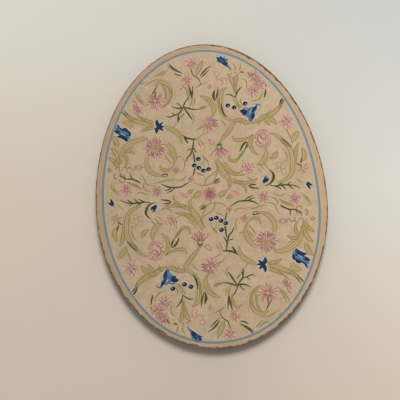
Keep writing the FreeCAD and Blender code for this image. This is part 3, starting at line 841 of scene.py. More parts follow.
GREEN_SPRIGS = [
    # hanging sprig left of the tulip
    ([0.3, 0.6, 0.6, 0.5, 0.3], [(-3.7, 18.7), (-4.1, 16.3), (-4.9, 14.0), (-6.0, 12.8), (-6.7, 11.5)]),
    ([0.4, 0.5, 0.2], [(-4.1, 16.0), (-3.6, 15.0), (-3.2, 14.0)]),
    ([0.4, 0.65, 0.6, 0.3], [(-4.2, 14.6), (-4.0, 12.0), (-4.1, 9.0), (-4.9, 6.5)]),
    ([0.3, 0.8, 0.4], [(-6.9, 20.2), (-6.3, 18.9), (-5.6, 17.4)]),
    ([0.2, 0.7, 0.6, 0.3], [(-7.3, 20.4), (-5.6, 19.2), (-3.8, 18.7), (-2.5, 18.7)]),
    ([0.2, 0.4, 0.3], [(-6.3, 15.1), (-5.3, 15.3), (-4.3, 15.5)]),
    # calyx of the tulip
    ([0.1, 0.4, 0.4, 0.25], [(3.3, 15.2), (3.9, 16.0), (4.8, 16.1), (5.4, 15.0)]),
    # arc below the left daisy
    ([0.3, 0.6, 0.6, 0.5, 0.3],
     [(-15.3, 4.8), (-13.7, 3.8), (-12.0, 3.3), (-9.2, 3.2), (-7.7, 3.8), (-6.3, 4.5)]),
    ([0.2, 0.5, 0.3], [(-14.2, 2.5), (-13.0, 2.7), (-12.0, 3.2)]),
    ([0.2, 0.5, 0.3], [(-13.8, 1.7), (-12.2, 2.2), (-11.0, 3.0)]),
    ([0.4, 0.5, 0.3, 0.2], [(-15.0, 7.75), (-13.2, 7.9), (-13.5, 7.1), (-14.8, 7.0)]),
    # beside the middle flower
    ([0.2, 0.8, 0.2], [(1.5, 3.4), (2.5, 4.3), (3.6, 4.8)]),
    ([0.2, 0.4, 0.2], [(1.9, 3.3), (2.9, 3.6), (3.7, 4.1)]),
    # spray through the curls
    ([0.4, 0.6, 0.6, 0.4, 0.3], [(-22.0, 5.7), (-22.8, 6.3), (-24.7, 7.3), (-26.7, 7.5), (-28.7, 8.8)]),
    ([0.4, 0.4, 0.2], [(-24.7, 7.3), (-24.9, 8.2), (-25.0, 9.4)]),
    ([0.4, 0.4, 0.2], [(-26.6, 7.6), (-27.0, 8.2), (-27.2, 9.0)]),
    ([0.3, 0.4, 0.2], [(-27.5, 8.2), (-28.0, 8.8), (-28.5, 9.7)]),
    # long sprig to the right
    ([0.3, 0.6, 0.2], [(12.5, 1.5), (13.7, 1.8), (15.2, 1.75)]),
    ([0.3, 0.7, 0.3], [(12.6, 1.3), (13.8, 0.8), (15.9, 0.4)]),
    ([0.3, 0.5, 0.6, 0.6, 0.4, 0.3],
     [(19.3, 1.1), (21.0, 0.7), (23.0, 0.8), (25.0, 0.7), (27.0, 0.3), (28.9, -0.7)]),
    ([0.3, 0.5, 0.2], [(20.8, 0.7), (21.9, 0.2), (23.0, -0.6)]),
    ([0.3, 0.5, 0.2], [(22.7, 0.8), (23.6, 0.2), (24.4, -0.7)]),
    ([0.3, 0.4, 0.2], [(24.8, 0.7), (25.4, 1.1), (26.2, 1.5)]),
    ([0.3, 0.5, 0.2], [(25.0, 0.6), (25.9, 0.0), (26.7, -0.7)]),
    ([0.3, 0.4, 0.2], [(22.0, 0.8), (22.8, 1.3), (23.7, 1.5)]),
    ([0.2, 0.8, 1.0, 0.7, 0.2],
     [(19.5, 6.4), (20.6, 5.2), (20.9, 4.0), (20.3, 2.5), (19.2, 1.5), (17.8, 1.1)]),
    # arrow leaf, lens leaf and small fork at the right
    ([0.2, 0.9, 0.3], [(13.6, 16.2), (12.2, 15.4), (10.8, 13.1)]),
    ([0.2, 0.7, 0.3], [(13.5, 16.1), (13.3, 14.8), (12.5, 13.6)]),
    ([0.1, 0.4, 0.45, 0.2], [(24.0, 16.5), (25.4, 15.5), (26.5, 14.4), (27.6, 13.0)]),
    ([0.2, 0.5, 0.3], [(30.4, 9.4), (30.2, 8.2), (29.8, 7.3)]),
    ([0.2, 0.5, 0.3], [(28.4, 7.5), (29.3, 7.0), (30.1, 6.4)]),
    # branch at the upper middle
    ([0.4, 0.5, 0.2], [(-6.2, 30.0), (-5.3, 31.8), (-4.2, 33.2)]),
    ([0.4, 0.6, 0.5, 0.2], [(-6.2, 30.0), (-7.3, 29.6), (-8.8, 29.9), (-10.2, 30.8)]),
    ([0.3, 0.4, 0.2], [(-7.0, 29.8), (-7.2, 30.6), (-7.9, 31.4)]),
    ([0.4, 0.6, 0.5, 0.2], [(-6.2, 30.0), (-4.7, 29.4), (-3.0, 28.8), (-1.2, 28.6)]),
    ([0.4, 0.7, 0.3], [(-6.0, 29.6), (-5.0, 27.9), (-4.2, 26.4), (-3.6, 25.4)]),
    ([0.4, 0.6, 0.5, 0.4, 0.2], [(-6.3, 29.7), (-7.3, 28.3), (-8.3, 27.6), (-9.4, 27.4), (-11.3, 26.7)]),
    ([0.2, 0.4, 0.3], [(-10.2, 28.4), (-9.6, 27.9), (-9.0, 27.5)]),
    ([0.2, 0.4, 0.3], [(-12.0, 27.3), (-10.8, 27.0), (-9.5, 27.2)]),
    ([0.4, 0.7, 0.3], [(-7.9, 27.6), (-8.2, 26.1), (-8.3, 24.6)]),
    ([0.3, 0.4, 0.2], [(-6.1, 27.7), (-6.7, 27.0), (-7.4, 26.4)]),
    ([0.2, 0.4, 0.3], [(-7.6, 25.6), (-7.9, 26.4), (-8.0, 27.2)]),
    # narrow leaves above it
    ([0.2, 0.8, 0.3], [(-3.9, 37.5), (-3.4, 35.0), (-3.2, 32.7)]),
    ([0.2, 0.6, 0.3], [(-2.5, 36.9), (-2.8, 34.6), (-3.1, 32.7)]),
    ([0.2, 1.1, 0.3], [(4.7, 34.9), (4.0, 33.0), (4.2, 31.0)]),
    ([0.2, 0.7, 0.3], [(5.8, 35.5), (5.3, 33.4), (4.5, 31.2)]),
    ([0.2, 0.7, 0.7, 0.3], [(6.3, 30.1), (6.4, 28.0), (6.8, 26.4), (7.5, 25.2)]),
    # top branch and leaves
    ([0.3, 0.4, 0.4, 0.2], [(-2.7, 43.0), (-2.2, 40.8), (-1.3, 40.0), (-0.3, 39.0), (0.2, 37.2)]),
    ([0.3, 0.7, 0.5, 0.2], [(0.3, 40.1), (1.5, 41.5), (2.8, 42.6), (4.2, 43.3)]),
    ([0.2, 0.5, 0.2], [(0.3, 39.3), (1.7, 40.5), (3.3, 41.9)]),
    ([0.2, 0.8, 0.2], [(-9.9, 45.6), (-8.2, 43.3), (-5.6, 41.6)]),
    ([0.2, 0.5, 0.2], [(-8.4, 41.9), (-7.2, 41.2), (-5.9, 40.8)]),
    # fork over the berries
    ([0.2, 0.5, 0.4], [(7.9, 32.8), (9.4, 32.7), (11.2, 31.4)]),
    ([0.3, 0.6, 0.5, 0.2], [(11.2, 31.4), (11.7, 33.0), (12.6, 34.2), (13.6, 35.1)]),
    # left bloom and its neighbours
    ([0.2, 0.5, 0.3], [(-14.1, 38.4), (-15.2, 36.6), (-16.3, 35.1)]),
    ([0.2, 0.4, 0.2], [(-15.0, 36.3), (-15.1, 35.2), (-15.0, 34.2)]),
    ([0.2, 0.3, 0.1], [(-27.0, 30.9), (-26.0, 29.5), (-25.0, 28.4)]),
    ([0.2, 0.3, 0.1], [(-25.8, 30.8), (-25.0, 29.7), (-24.0, 28.6)]),
    # right side
    ([0.2, 0.7, 0.2], [(21.3, 33.6), (21.0, 32.0), (20.4, 30.4)]),
    ([0.2, 0.4, 0.2], [(21.3, 35.0), (21.4, 34.6), (21.5, 34.1)]),
    ([0.2, 0.4, 0.2], [(15.8, 39.7), (16.4, 39.1), (16.9, 38.2)]),
    ([0.2, 0.4, 0.2], [(13.4, 40.1), (14.1, 40.0), (14.8, 39.7)]),
    ([0.2, 0.8, 0.3], [(25.1, 27.6), (25.9, 29.0), (26.9, 30.2)]),
    ([0.2, 0.5, 0.2], [(26.0, 27.9), (26.6, 28.7), (27.2, 29.5)]),
]
DRAWN_IN = 0.86
lay_ink(
    "print_green_sprigs", thread_print("printed_wool_dark_green", "#33351a", "#474823", "#625e37"),
    5, thinner(GREEN_SPRIGS, DRAWN_IN))


# ---------------------------------------------------------------- pink flowers
# Daisies, blooms and buds in three pinks: a pale rose under, rose over it, and mauve in the
# folds and at the tips. Petals are single stitches that fan out from the flower's eye.

UNEVEN = 0.12


def fan(
        x, y, count, inner, outer, widths, seed, start=0.0, sweep=360.0, squash=1.0, lean=0.0):
    """Petal strokes round a point. Sweep and start are degrees; squash narrows it across lean."""
    dice = random.Random(seed)
    strokes = []
    for i in range(count):
        turn = start + sweep * (i + dice.uniform(-0.25, 0.25)) / count
        near = inner * dice.uniform(1 - UNEVEN, 1 + UNEVEN)
        far = outer * dice.uniform(1 - UNEVEN, 1 + UNEVEN)
        bend = dice.uniform(-8, 8)
        ray = []
        for reach, angle in ((near, turn), ((near + far) / 2, turn + bend), (far, turn)):
            along = reach * math.cos(math.radians(angle))
            across = squash * reach * math.sin(math.radians(angle))
            tilt = math.radians(lean)
            ray.append((
                x + along * math.cos(tilt) - across * math.sin(tilt),
                y + along * math.sin(tilt) + across * math.cos(tilt)))
        strokes.append((widths, ray))
    return strokes


def dot(x, y, radius):
    """A round spot, as one very short, full stroke."""
    widths = [2 * radius * w for w in (0.2, 0.87, 1.0, 0.87, 0.2)]
    return [(widths, [(x - radius, y), (x, y), (x + radius, y)])]


def ring(x, y, radius, width, start=0.0, sweep=360.0):
    """An arc of stem stitch round a point."""
    points = []
    for i in range(9):
        angle = math.radians(start + sweep * i / 8)
        points.append((x + radius * math.cos(angle), y + radius * math.sin(angle)))
    return [([width * 0.7, width, width * 0.7], points)]


pale_rose = []
rose = []
mauve = []


def bloom(x, y, count, reach, seed, squash=1.0, lean=0.0, start=0.0, sweep=360.0, heart=0.15):
    """A flower of pale petals, each with rose edges, and mauve stitches out of its heart."""
    step = sweep / count
    # The petals fill 0.8 of the arc that passes through them at 0.62 of their reach.
    petal = 0.8 * math.radians(abs(sweep)) * 0.62 * reach / count
    shape = {"squash": squash, "lean": lean, "sweep": sweep}
    pale_rose.extend(fan(
        x, y, count, heart * reach, 1.06 * reach, [0.5 * petal, petal, 0.9 * petal, 0.4 * petal], seed,
        start=start, **shape))
    rose.extend(fan(
        x, y, count, max(heart, 0.3) * reach, 0.98 * reach, [0.2, 0.34, 0.22], seed + 1,
        start=start + 0.5 * step, **shape))
    rose.extend(fan(
        x, y, count, 0.55 * reach, 0.92 * reach, [0.12, 0.3, 0.16], seed + 2, start=start, **shape))
    mauve.extend(fan(
        x, y, count, heart * reach, 0.62 * reach, [0.22, 0.32, 0.12], seed + 3,
        start=start + 0.25 * step, **shape))


# Middle flower, left daisy and the big bloom above the tulip
bloom(0, 0, 13, 2.4, 1, heart=0.02)
mauve += fan(0, 0, 13, 0.1, 1.5, [0.3, 0.45, 0.1], 3)
bloom(-16.4, 16.9, 15, 3.7, 4, heart=0.36)
mauve += fan(-16.4, 16.9, 15, 1.8, 3.1, [0.15, 0.45, 0.3], 4)
bloom(1.6, 22.8, 12, 3.2, 8, squash=0.82)
mauve += fan(2.0, 23.2, 7, 1.2, 2.9, [0.2, 0.5, 0.2], 12, start=-20, sweep=150, squash=0.85)

# Upper left bloom, with the long bud beside it
bloom(-15.3, 33.0, 15, 3.2, 16)
bloom(-21.4, 30.7, 9, 2.2, 20, squash=0.6, lean=-55)

# Tulip under its calyx, and the heart-shaped bud
bloom(4.4, 15.7, 10, 4.0, 24, start=-140, sweep=112, heart=0.2)
rose += [
    ([0.2, 0.4, 0.3], [(1.1, 18.3), (1.4, 17.3), (2.0, 16.2)]),
    ([0.3, 0.35, 0.3], [(1.2, 18.1), (2.2, 17.6), (3.1, 17.0)]),
    ([0.3, 0.4, 0.2], [(3.1, 17.0), (2.6, 16.6), (2.0, 16.2)]),
]
pale_rose += [([0.5, 1.1, 0.4], [(1.6, 18.0), (2.1, 17.4), (2.3, 16.7)])]

# Stars, small blooms and buds: x, y, petals, reach, seed
for x, y, petals, reach, seed in (
        (26.7, 21.7, 8, 2.5, 28), (-26.8, 3.8, 9, 2.1, 36), (-10.3, 8.8, 7, 1.5, 40),
        (-2.3, 44.7, 8, 2.1, 44), (-4.3, 39.2, 8, 2.0, 48), (17.9, 38.1, 9, 2.3, 52),
        (19.3, 35.6, 9, 2.4, 56), (17.0, 33.2, 9, 2.3, 60), (-5.6, 5.5, 6, 1.1, 64),
        (-16.8, 2.4, 9, 2.0, 68)):
    bloom(x, y, petals, reach, seed)

# Side view of a bloom: curved folds over a pale ground
pale_rose += fan(13.0, 7.4, 10, 0.1, 2.2, [0.6, 1.1, 0.6], 32)
rose += fan(13.0, 7.4, 9, 0.3, 2.1, [0.15, 0.3, 0.15], 33)
mauve += [
    ([0.1, 0.35, 0.1], [(11.5, 9.2), (11.4, 7.8), (12.1, 6.3)]),
    ([0.1, 0.35, 0.1], [(12.2, 9.3), (12.4, 8.1), (13.3, 7.1)]),
    ([0.1, 0.3, 0.1], [(13.2, 9.2), (13.4, 8.4), (14.2, 7.6)]),
    ([0.1, 0.35, 0.1], [(12.2, 7.6), (13.1, 6.8), (14.3, 6.3)]),
]
rose += [
    ([0.1, 0.3, 0.1], [(12.5, 6.5), (13.3, 5.9), (14.4, 5.6)]),
    ([0.1, 0.3, 0.1], [(14.2, 9.1), (14.8, 8.2), (15.0, 7.2)]),
]

# Salmon star at the right, and the scalloped flower with its round bud near the top
salmon = fan(30.5, 5.5, 7, 0.3, 1.9, [0.3, 0.6, 0.3], 60)
pale_rose += dot(5.8, 40.3, 0.9) + fan(7.2, 37.9, 9, 0.1, 1.9, [0.7, 0.9, 0.4], 75)
for x, y in ((6.2, 37.6), (7.8, 37.9), (9.3, 37.6)):
    salmon += ring(x, y, 0.7, 0.35, 0, 180)
salmon += [
    ([0.2, 0.35, 0.2], [(7.0, 36.2), (7.4, 37.4), (7.2, 38.8)]),
    ([0.2, 0.35, 0.2], [(8.4, 36.2), (8.8, 37.4), (8.6, 38.8)]),
]
salmon += ring(5.8, 40.3, 0.8, 0.35) + ring(3.0, 36.0, 0.6, 0.3) + ring(5.9, 38.8, 0.5, 0.3, 90, 180)
salmon += [([0.2, 0.5, 0.2], [(10.3, 37.9), (11.2, 37.2), (12.2, 37.3)])]

# Rosette at the right: wound petals
pale_rose += fan(18.8, 16.8, 14, 0.4, 3.0, [0.9, 1.2, 0.9], 63)
rose += ring(18.9, 16.9, 2.7, 0.5, 20, 160) + ring(19.0, 17.7, 1.2, 0.45)
rose += ring(18.7, 16.4, 2.6, 0.45, 190, 150)
rose += fan(18.8, 16.8, 12, 1.3, 2.7, [0.2, 0.4, 0.2], 64)
mauve += ring(18.8, 16.7, 1.9, 0.45, 110, 140) + ring(19.0, 17.3, 0.7, 0.3)
mauve += ring(18.6, 16.6, 2.2, 0.3, 250, 90)

# Small lily and the curls at the left edge
rose += [
    ([0.2, 0.5, 0.4, 0.2], [(6.8, -0.3), (7.8, 0.2), (8.8, -0.4), (9.5, -1.4)]),
    ([0.2, 0.4, 0.2], [(7.2, -0.6), (8.1, -0.6), (8.9, -1.4)]),
]
pale_rose += [([0.5, 1.2, 0.6], [(6.8, -0.6), (8.0, -0.5), (9.2, -1.2)])]
curls = fan(-22.3, 10.9, 8, 0.5, 1.6, [0.15, 0.35, 0.15], 61, squash=0.7) + ring(-31.7, 10.9, 0.5, 0.45)
curls += ring(-29.4, 8.7, 0.95, 0.6, 110, 150) + ring(-27.8, 7.3, 0.85, 0.4, 150, 220)
curls += ring(-29.2, 11.0, 0.6, 0.4, 0, 180) + ring(-28.0, 10.9, 0.6, 0.4, 180, 180)
curls += ring(-26.7, 10.9, 0.6, 0.4, 0, 180) + ring(-25.3, 10.4, 0.8, 0.4, -20, 230)
curls += ring(-24.0, 10.9, 0.6, 0.3, 180, 180)

lay_ink(
    "print_rose_pale", thread_print("printed_wool_pale_rose", "#c39e8b", "#caa997", "#c7a891"),
    4, pale_rose)
lay_ink("print_rose_petals", thread_print("printed_wool_rose", "#a46c62", "#b07b70", "#b58c7d"), 5, rose)
lay_ink(
    "print_mauve_folds", thread_print("printed_wool_mauve", "#865b56", "#946b62", "#9e7b6e"),
    6, mauve)
lay_ink(
    "print_salmon_petals", thread_print("printed_wool_salmon", "#a97a67", "#b18772", "#b08e76"),
    5, salmon)
lay_ink(
    "print_pink_curls", thread_print("printed_wool_pink_cord", "#8f645c", "#9d756b", "#a68476"),
    5, curls)

# Eye of the daisy, and the faint tan flower inside the right scroll
eyes = fan(-16.3, 17.0, 11, 0.2, 1.5, [0.15, 0.35, 0.25], 70)
eyes += fan(1.7, 22.6, 7, 0.1, 0.8, [0.2, 0.4, 0.2], 71) + dot(-5.5, 5.4, 0.3)
tan_lines = []
for x, y in ((24.2, 6.8), (22.6, 6.0), (22.9, 7.7), (24.3, 5.2)):
    tan_lines += ring(x, y, 0.8, 0.3)
tan_lines += ring(25.6, 6.3, 0.7, 0.3, -90, 200) + ring(25.0, 8.1, 0.7, 0.3, 0, 220)
lay_ink("print_flower_eyes", thread_print("printed_wool_ochre", "#99764f", "#a98760", "#a98c6a"), 7, eyes)
lay_ink(
    "print_tan_flower", thread_print("printed_wool_tan", "#9c8058", "#a68c66", "#ab9370"),
    3, tan_lines)


# ---------------------------------------------------------------- blue flowers
# Cornflowers and buds in four blues, each with a pale halo where the print bled: a slate
# heart, navy lobes over it, mid blue between them, and light blue at the tips.

NAVY_LOBES = [
    # big cornflower at the left edge
    ([0.4, 1.3, 1.0, 0.4], [(-29.5, 24.1), (-28.5, 23.6), (-27.5, 22.9), (-26.6, 22.3)]),
    ([0.2, 0.5, 0.7, 0.3], [(-28.3, 25.9), (-27.6, 24.9), (-26.6, 24.1), (-25.6, 23.5)]),
    ([0.4, 1.1, 0.6], [(-26.4, 24.6), (-25.5, 24.0), (-25.0, 23.0)]),
    ([0.4, 1.1, 0.4], [(-24.8, 23.6), (-24.4, 22.6), (-24.4, 21.6)]),
    ([0.4, 1.3, 1.6, 0.9], [(-28.6, 21.8), (-27.4, 21.9), (-26.2, 21.3), (-25.3, 20.1)]),
    ([0.3, 0.9, 0.6], [(-25.0, 22.0), (-25.7, 22.0), (-26.4, 22.2)]),
    # dark star
    ([0.3, 1.3, 1.1], [(-15.2, 26.5), (-15.2, 25.4), (-14.8, 24.0)]),
    ([0.3, 0.9, 0.9], [(-13.3, 25.4), (-14.0, 24.8), (-14.8, 24.1)]),
    ([0.2, 0.8, 0.9], [(-12.7, 23.8), (-13.6, 23.9), (-14.8, 24.0)]),
    ([0.2, 0.9, 0.9], [(-13.3, 22.5), (-13.9, 23.1), (-14.8, 23.9)]),
    ([0.3, 1.3, 1.2], [(-15.6, 21.8), (-15.5, 22.7), (-14.9, 23.9)]),
    ([0.3, 1.1, 1.1], [(-16.2, 23.2), (-15.7, 23.2), (-14.9, 23.8)]),
    # cornflower at the top edge
    ([0.3, 0.8, 0.5], [(6.1, 46.1), (6.8, 45.4), (7.6, 44.6)]),
    ([0.3, 0.8, 0.4], [(6.2, 44.6), (7.1, 44.6), (8.2, 44.4)]),
    ([0.3, 0.9, 0.5], [(7.5, 46.4), (7.7, 45.5), (8.0, 44.6)]),
    ([0.2, 0.7, 0.4], [(8.9, 46.0), (8.7, 45.3), (8.3, 44.5)]),
    ([0.2, 0.7, 0.4], [(10.0, 45.2), (9.3, 44.8), (8.5, 44.3)]),
    ([0.4, 0.9, 0.6, 0.2], [(7.5, 44.2), (8.4, 43.5), (9.2, 42.8), (9.8, 41.9)]),
    ([0.2, 0.7, 0.3], [(8.3, 44.2), (9.0, 43.8), (9.7, 43.2)]),
    # cluster beside the berries
    ([0.4, 1.9, 1.5, 0.5], [(12.1, 26.7), (13.2, 26.5), (14.2, 26.1), (15.1, 25.8)]),
    ([0.3, 1.1, 0.6], [(12.8, 25.3), (13.7, 25.7), (14.6, 26.0)]),
    ([0.3, 1.1, 1.2, 0.6], [(17.9, 28.2), (17.2, 27.3), (16.5, 26.6), (16.2, 25.9)]),
    ([0.6, 1.5, 1.2, 0.3], [(16.5, 25.7), (16.3, 24.9), (15.9, 24.0), (15.5, 22.9)]),
    # bud with its arc leaf, and the bud at the left edge
    ([0.6, 1.4, 0.9, 0.3], [(17.4, 2.0), (17.8, 2.6), (18.0, 3.2), (18.1, 4.1)]),
    ([0.5, 1.1, 0.3], [(17.8, 2.3), (18.6, 2.8), (19.3, 3.4)]),
    ([0.3, 0.9, 0.8, 0.5], [(-32.0, 1.4), (-31.7, 0.6), (-31.3, -0.1), (-30.9, -0.6)]),
    ([0.3, 0.8, 0.9, 0.5], [(-32.9, 0.3), (-32.2, -0.2), (-31.7, -0.6), (-31.2, -1.0)]),
]
BLUE_STROKES = [
    ([0.3, 0.8, 0.6, 0.2], [(-27.9, 23.2), (-27.0, 22.7), (-26.2, 22.3), (-25.4, 21.5)]),
    ([0.2, 0.5, 0.2], [(-26.9, 23.9), (-26.2, 23.2), (-25.9, 22.6)]),
    ([0.2, 0.7, 0.3], [(-28.8, 25.7), (-28.4, 25.1), (-27.8, 24.5)]),
    ([0.2, 0.7, 0.2], [(-24.2, 20.5), (-24.6, 21.0), (-25.0, 21.6)]),
    ([0.2, 0.4, 0.2], [(9.4, 43.2), (10.0, 42.4), (10.3, 41.6), (10.3, 40.9)]),
    ([0.2, 0.5, 0.2], [(7.3, 45.6), (7.6, 44.9), (7.9, 44.2)]),
    ([0.2, 0.6, 0.2], [(8.9, 45.4), (9.1, 44.8), (9.2, 44.2)]),
    ([0.4, 1.3, 1.2, 0.5], [(14.2, 25.2), (15.0, 26.0), (15.6, 26.8), (16.3, 27.6)]),
    ([0.4, 1.2, 1.0, 0.4], [(14.0, 24.9), (14.7, 24.6), (15.2, 23.9), (15.3, 23.0)]),
    ([0.2, 0.7, 0.3], [(17.4, 24.9), (17.2, 25.8), (17.6, 26.7)]),
    ([0.2, 0.5, 0.2], [(17.2, 28.3), (18.4, 28.4), (19.3, 27.8)]),
    ([0.2, 0.5, 0.2], [(13.2, 27.6), (14.2, 27.5), (15.2, 27.2)]),
]
BLUE_HEARTS = [
    ([0.5, 1.7, 2.6, 2.4, 0.8],
     [(-29.0, 25.2), (-28.0, 24.2), (-26.9, 23.1), (-25.7, 22.1), (-24.6, 21.0)]),
    ([0.3, 1.2, 0.5], [(-28.6, 26.4), (-28.2, 25.6), (-27.6, 24.9)]),
    ([0.6, 2.4, 2.2, 0.8], [(6.3, 45.9), (7.3, 45.2), (8.5, 44.4), (9.5, 43.4)]),
    ([0.8, 2.2, 2.4, 1.0], [(13.2, 25.4), (14.6, 25.8), (16.2, 26.6), (17.6, 27.4)]),
    ([1.6, 2.6, 2.0, 0.5], [(15.6, 26.4), (15.5, 25.2), (15.4, 24.0), (15.2, 22.7)]),
    ([0.4, 1.3, 1.1, 0.3], [(17.5, 2.3), (18.1, 3.0), (18.6, 3.7), (18.7, 4.4)]),
]
LIGHT_BLUE = [
    ([0.2, 0.5, 0.3], [(6.4, 47.2), (6.8, 46.6), (7.2, 46.0)]),
    ([0.2, 0.5, 0.3], [(8.2, 47.0), (8.3, 46.4), (8.2, 45.8)]),
    ([0.2, 0.5, 0.2], [(9.6, 46.3), (9.2, 45.8), (8.8, 45.3)]),
    ([0.2, 0.5, 0.2], [(-29.2, 26.2), (-28.9, 25.6), (-28.4, 25.1)]),
    ([0.2, 0.6, 0.2], [(-23.8, 20.4), (-24.2, 20.9), (-24.4, 21.5)]),
    ([0.2, 0.3, 0.2], [(-27.3, 23.0), (-26.6, 22.6), (-25.9, 22.0)]),
    ([0.2, 0.4, 0.2], [(15.2, 25.9), (15.8, 26.6), (16.2, 27.3)]),
    ([0.2, 0.8, 0.3], [(16.9, 24.7), (17.3, 25.6), (17.4, 26.6)]),
    ([0.2, 0.5, 0.2], [(13.6, 24.8), (14.2, 24.4), (14.8, 23.6)]),
    ([0.2, 0.5, 0.2], [(15.9, 28.4), (17.0, 28.9), (18.4, 28.9)]),
    ([0.2, 0.4, 0.2], [(17.5, 3.6), (17.6, 4.1), (17.9, 4.6)]),
    ([0.2, 0.4, 0.2], [(18.7, 3.4), (19.0, 3.9), (19.2, 4.3)]),
    ([0.2, 0.4, 0.2], [(10.0, 43.0), (10.6, 42.0), (10.7, 41.2)]),
    ([0.2, 0.4, 0.2], [(-33.4, 0.4), (-33.0, 0.4), (-32.5, 0.5)]),
]
BERRIES = [
    (-2.7, 11.9), (-4.2, 9.9), (-2.8, 8.95), (-1.4, 7.9), (0.3, 8.2),
    (8.4, 29.0), (10.4, 28.1), (14.1, 29.1),
]
BERRY_RADIUS = 0.8
HALO_WIDTH = 0.3
BERRY_HALO = 0.26

halo_ink = thread_print("printed_halo_pale", "#b5b0a4", "#bfb8a8", "#bfb29a")
berry_spots = [spot for x, y in BERRIES for spot in dot(x, y, BERRY_RADIUS)]
lay_ink("print_blue_halos", halo_ink, 6, wider(NAVY_LOBES, HALO_WIDTH) + wider(berry_spots, BERRY_HALO))
lay_ink(
    "print_blue_hearts", thread_print("printed_wool_slate_blue", "#46627e", "#56718a", "#708797"),
    7, BLUE_HEARTS)
lay_ink(
    "print_navy_lobes", thread_print("printed_wool_navy", "#111d30", "#1b2d46", "#2b4461"),
    8, NAVY_LOBES)
lay_ink(
    "print_blue_strokes", thread_print("printed_wool_blue", "#3b5a7c", "#4e6f8e", "#67839a"),
    9, BLUE_STROKES)
lay_ink(
    "print_light_blue", thread_print("printed_wool_light_blue", "#8a9fac", "#99aab0", "#a3adad"),
    10, LIGHT_BLUE)


# ---------------------------------------------------------------- berries
# Round berries in blue-black wool, each with one pale stitch as its highlight. Five hang in
# an arc by the tulip and three sit beside the blue cluster.

LIGHT_RADIUS = 0.2
highlights = [
    spot for x, y in BERRIES for spot in dot(x + LIGHT_RADIUS, y - LIGHT_RADIUS, LIGHT_RADIUS)]
berry_stalks = [
    ([0.2, 0.3, 0.1], [(-1.2, 8.8), (-1.2, 10.0), (-0.6, 11.2)]),
    ([0.2, 0.3, 0.1], [(0.5, 9.0), (0.5, 10.0), (0.2, 11.0)]),
    ([0.2, 0.3, 0.1], [(-2.4, 9.7), (-1.8, 10.6), (-0.8, 11.4)]),
]
lay_ink(
    "print_berry_stalks", thread_print("printed_wool_drab", "#8d7c52", "#9a885f", "#a09069"),
    4, berry_stalks)
lay_ink(
    "print_berries", thread_print("printed_wool_blue_black", "#0c1422", "#18243a", "#22344f"),
    8, berry_spots)
lay_ink(
    "print_berry_lights", thread_print("printed_wool_white", "#8d959c", "#a5a9a9", "#b3b1a8"),
    10, highlights)


# ---------------------------------------------------------------- table, light and camera
# A plain pale table under the mirror, one large soft lamp over its slimmer end, and even
# light from all round. The camera looks down, leaning a little towards the broad end.

# The part of the table that the camera sees, in metres.
SEEN_LEFT, SEEN_RIGHT = -0.066, 0.061
SEEN_NEAR, SEEN_FAR = -0.067, 0.062
# Table tones with painted light and shade, from left to right, in three rows from near to far.
TABLE_LIGHT_AND_SHADE_TONES = (
    ("#cebfb2", "#cabbab", "#dfccbb"),
    ("#d2c2b0", "#cac1b5", "#dddad0"),
    ("#d6d1c6", "#cfcabf", "#c6c8c1"),
)


def table_top():
    """Matt off-white board with painted light and shade, warmer towards the near edge, with a very fine
    tooth.
    """
    material, tree = new_material("table_matt_off_white")
    place = add(tree, "ShaderNodeTexCoord").outputs["Object"]
    place = add(tree, "ShaderNodeSeparateXYZ", None, {0: place})
    sideways = {"From Min": SEEN_LEFT, "From Max": SEEN_RIGHT}
    across = add(tree, "ShaderNodeMapRange", sideways, {0: place.outputs[0]})
    backwards = {"From Min": SEEN_NEAR, "From Max": SEEN_FAR}
    away = add(tree, "ShaderNodeMapRange", backwards, {0: place.outputs[1]})
    rows = []
    # The tones paint light and shade across the table.
    for left, middle, right in TABLE_LIGHT_AND_SHADE_TONES:
        row = blend_colours(tree, ramp(tree, across.outputs[0], [(0.0, 0), (0.5, 1)]), left, middle)
        rows.append(blend_colours(tree, ramp(tree, across.outputs[0], [(0.5, 0), (1.0, 1)]), row, right))
    colour = blend_colours(tree, ramp(tree, away.outputs[0], [(0.0, 0), (0.5, 1)]), *rows[:2])
    colour = blend_colours(tree, ramp(tree, away.outputs[0], [(0.5, 0), (1.0, 1)]), colour, rows[2])
    tooth = add(tree, "ShaderNodeTexNoise", {"Scale": 0.3, "Detail": 4.0}, {"Vector": in_millimetres(tree)})
    colour = blend_colours(tree, 0.03, colour, tooth.outputs[1], "SOFT_LIGHT")
    paint(tree, {"Roughness": 0.85, "IOR": 1.45, "Specular IOR Level": 0.2}, {"Base Color": colour})
    return material


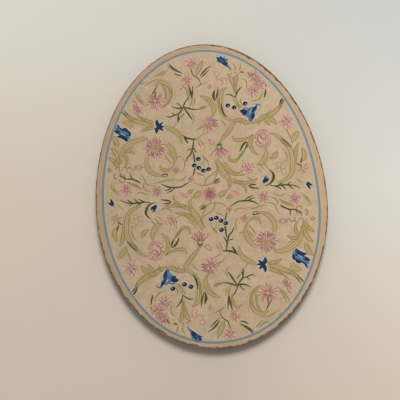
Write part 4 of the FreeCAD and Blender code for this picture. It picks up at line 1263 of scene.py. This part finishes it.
TABLE_WIDTH = 3.0
TABLE_THICKNESS = 0.02
TABLE_CLEARANCE = 0.00003
table_middle = -(TABLE_THICKNESS / 2 + TABLE_CLEARANCE)
bpy.ops.mesh.primitive_cube_add(size=1, location=(0, 0, table_middle))
table = bpy.context.object
table.name = "table"
table.scale = (TABLE_WIDTH, TABLE_WIDTH, TABLE_THICKNESS)
bpy.ops.object.transform_apply(location=True, scale=True)
table.data.materials.append(table_top())

world = bpy.data.worlds.new("even_light")
bpy.context.scene.world = world
world.use_nodes = True
background = world.node_tree.nodes["Background"]
background.inputs["Color"].default_value = (1.0, 1.0, 1.0, 1.0)
background.inputs["Strength"].default_value = 0.36

LAMP_DISTANCE = 0.7
lamp_data = bpy.data.lights.new("soft_lamp", "AREA")
lamp_data.shape = "DISK"
lamp_data.size = 0.30
lamp = bpy.data.objects.new("soft_lamp", lamp_data)
bpy.context.collection.objects.link(lamp)
lamp_from = Vector((0.12, 0.44, 0.92)).normalized()
lamp.location = lamp_from * LAMP_DISTANCE
lamp.rotation_euler = lamp_from.to_track_quat("Z", "Y").to_euler()
# The lamp's power gives this level on a flat white sheet, and the world adds the rest.
LAMP_LEVEL = 0.66
lamp_data.energy = LAMP_LEVEL * math.pi ** 2 * LAMP_DISTANCE ** 2 / lamp_from.z

# The camera is 250 mm away, tilted 11.9 degrees towards the broad end and 1.8 degrees to
# the right, and rolled by 4.9 degrees.
CAMERA_DISTANCE = 0.250
tilt = math.radians(11.94)
pan = math.radians(1.78)
roll = math.radians(-4.86)
aim = Vector((-0.00341, -0.00284, cad_high.z))
back = Vector((
    math.sin(pan) * math.cos(tilt), -math.sin(tilt), math.cos(tilt) * math.cos(pan))).normalized()
right = (-back).cross(Vector((0, 1, 0))).normalized()
up = right.cross(-back)
turned_right = right * math.cos(roll) + up * math.sin(roll)
turned_up = up * math.cos(roll) - right * math.sin(roll)

camera_data = bpy.data.cameras.new("camera")
camera_data.sensor_width = 36.0
camera_data.lens = 70.344
camera_data.clip_start = 0.01
camera = bpy.data.objects.new("camera", camera_data)
bpy.context.collection.objects.link(camera)
placed = Matrix((turned_right, turned_up, back)).transposed().to_4x4()
placed.translation = aim + back * CAMERA_DISTANCE
camera.matrix_world = placed
bpy.context.scene.camera = camera
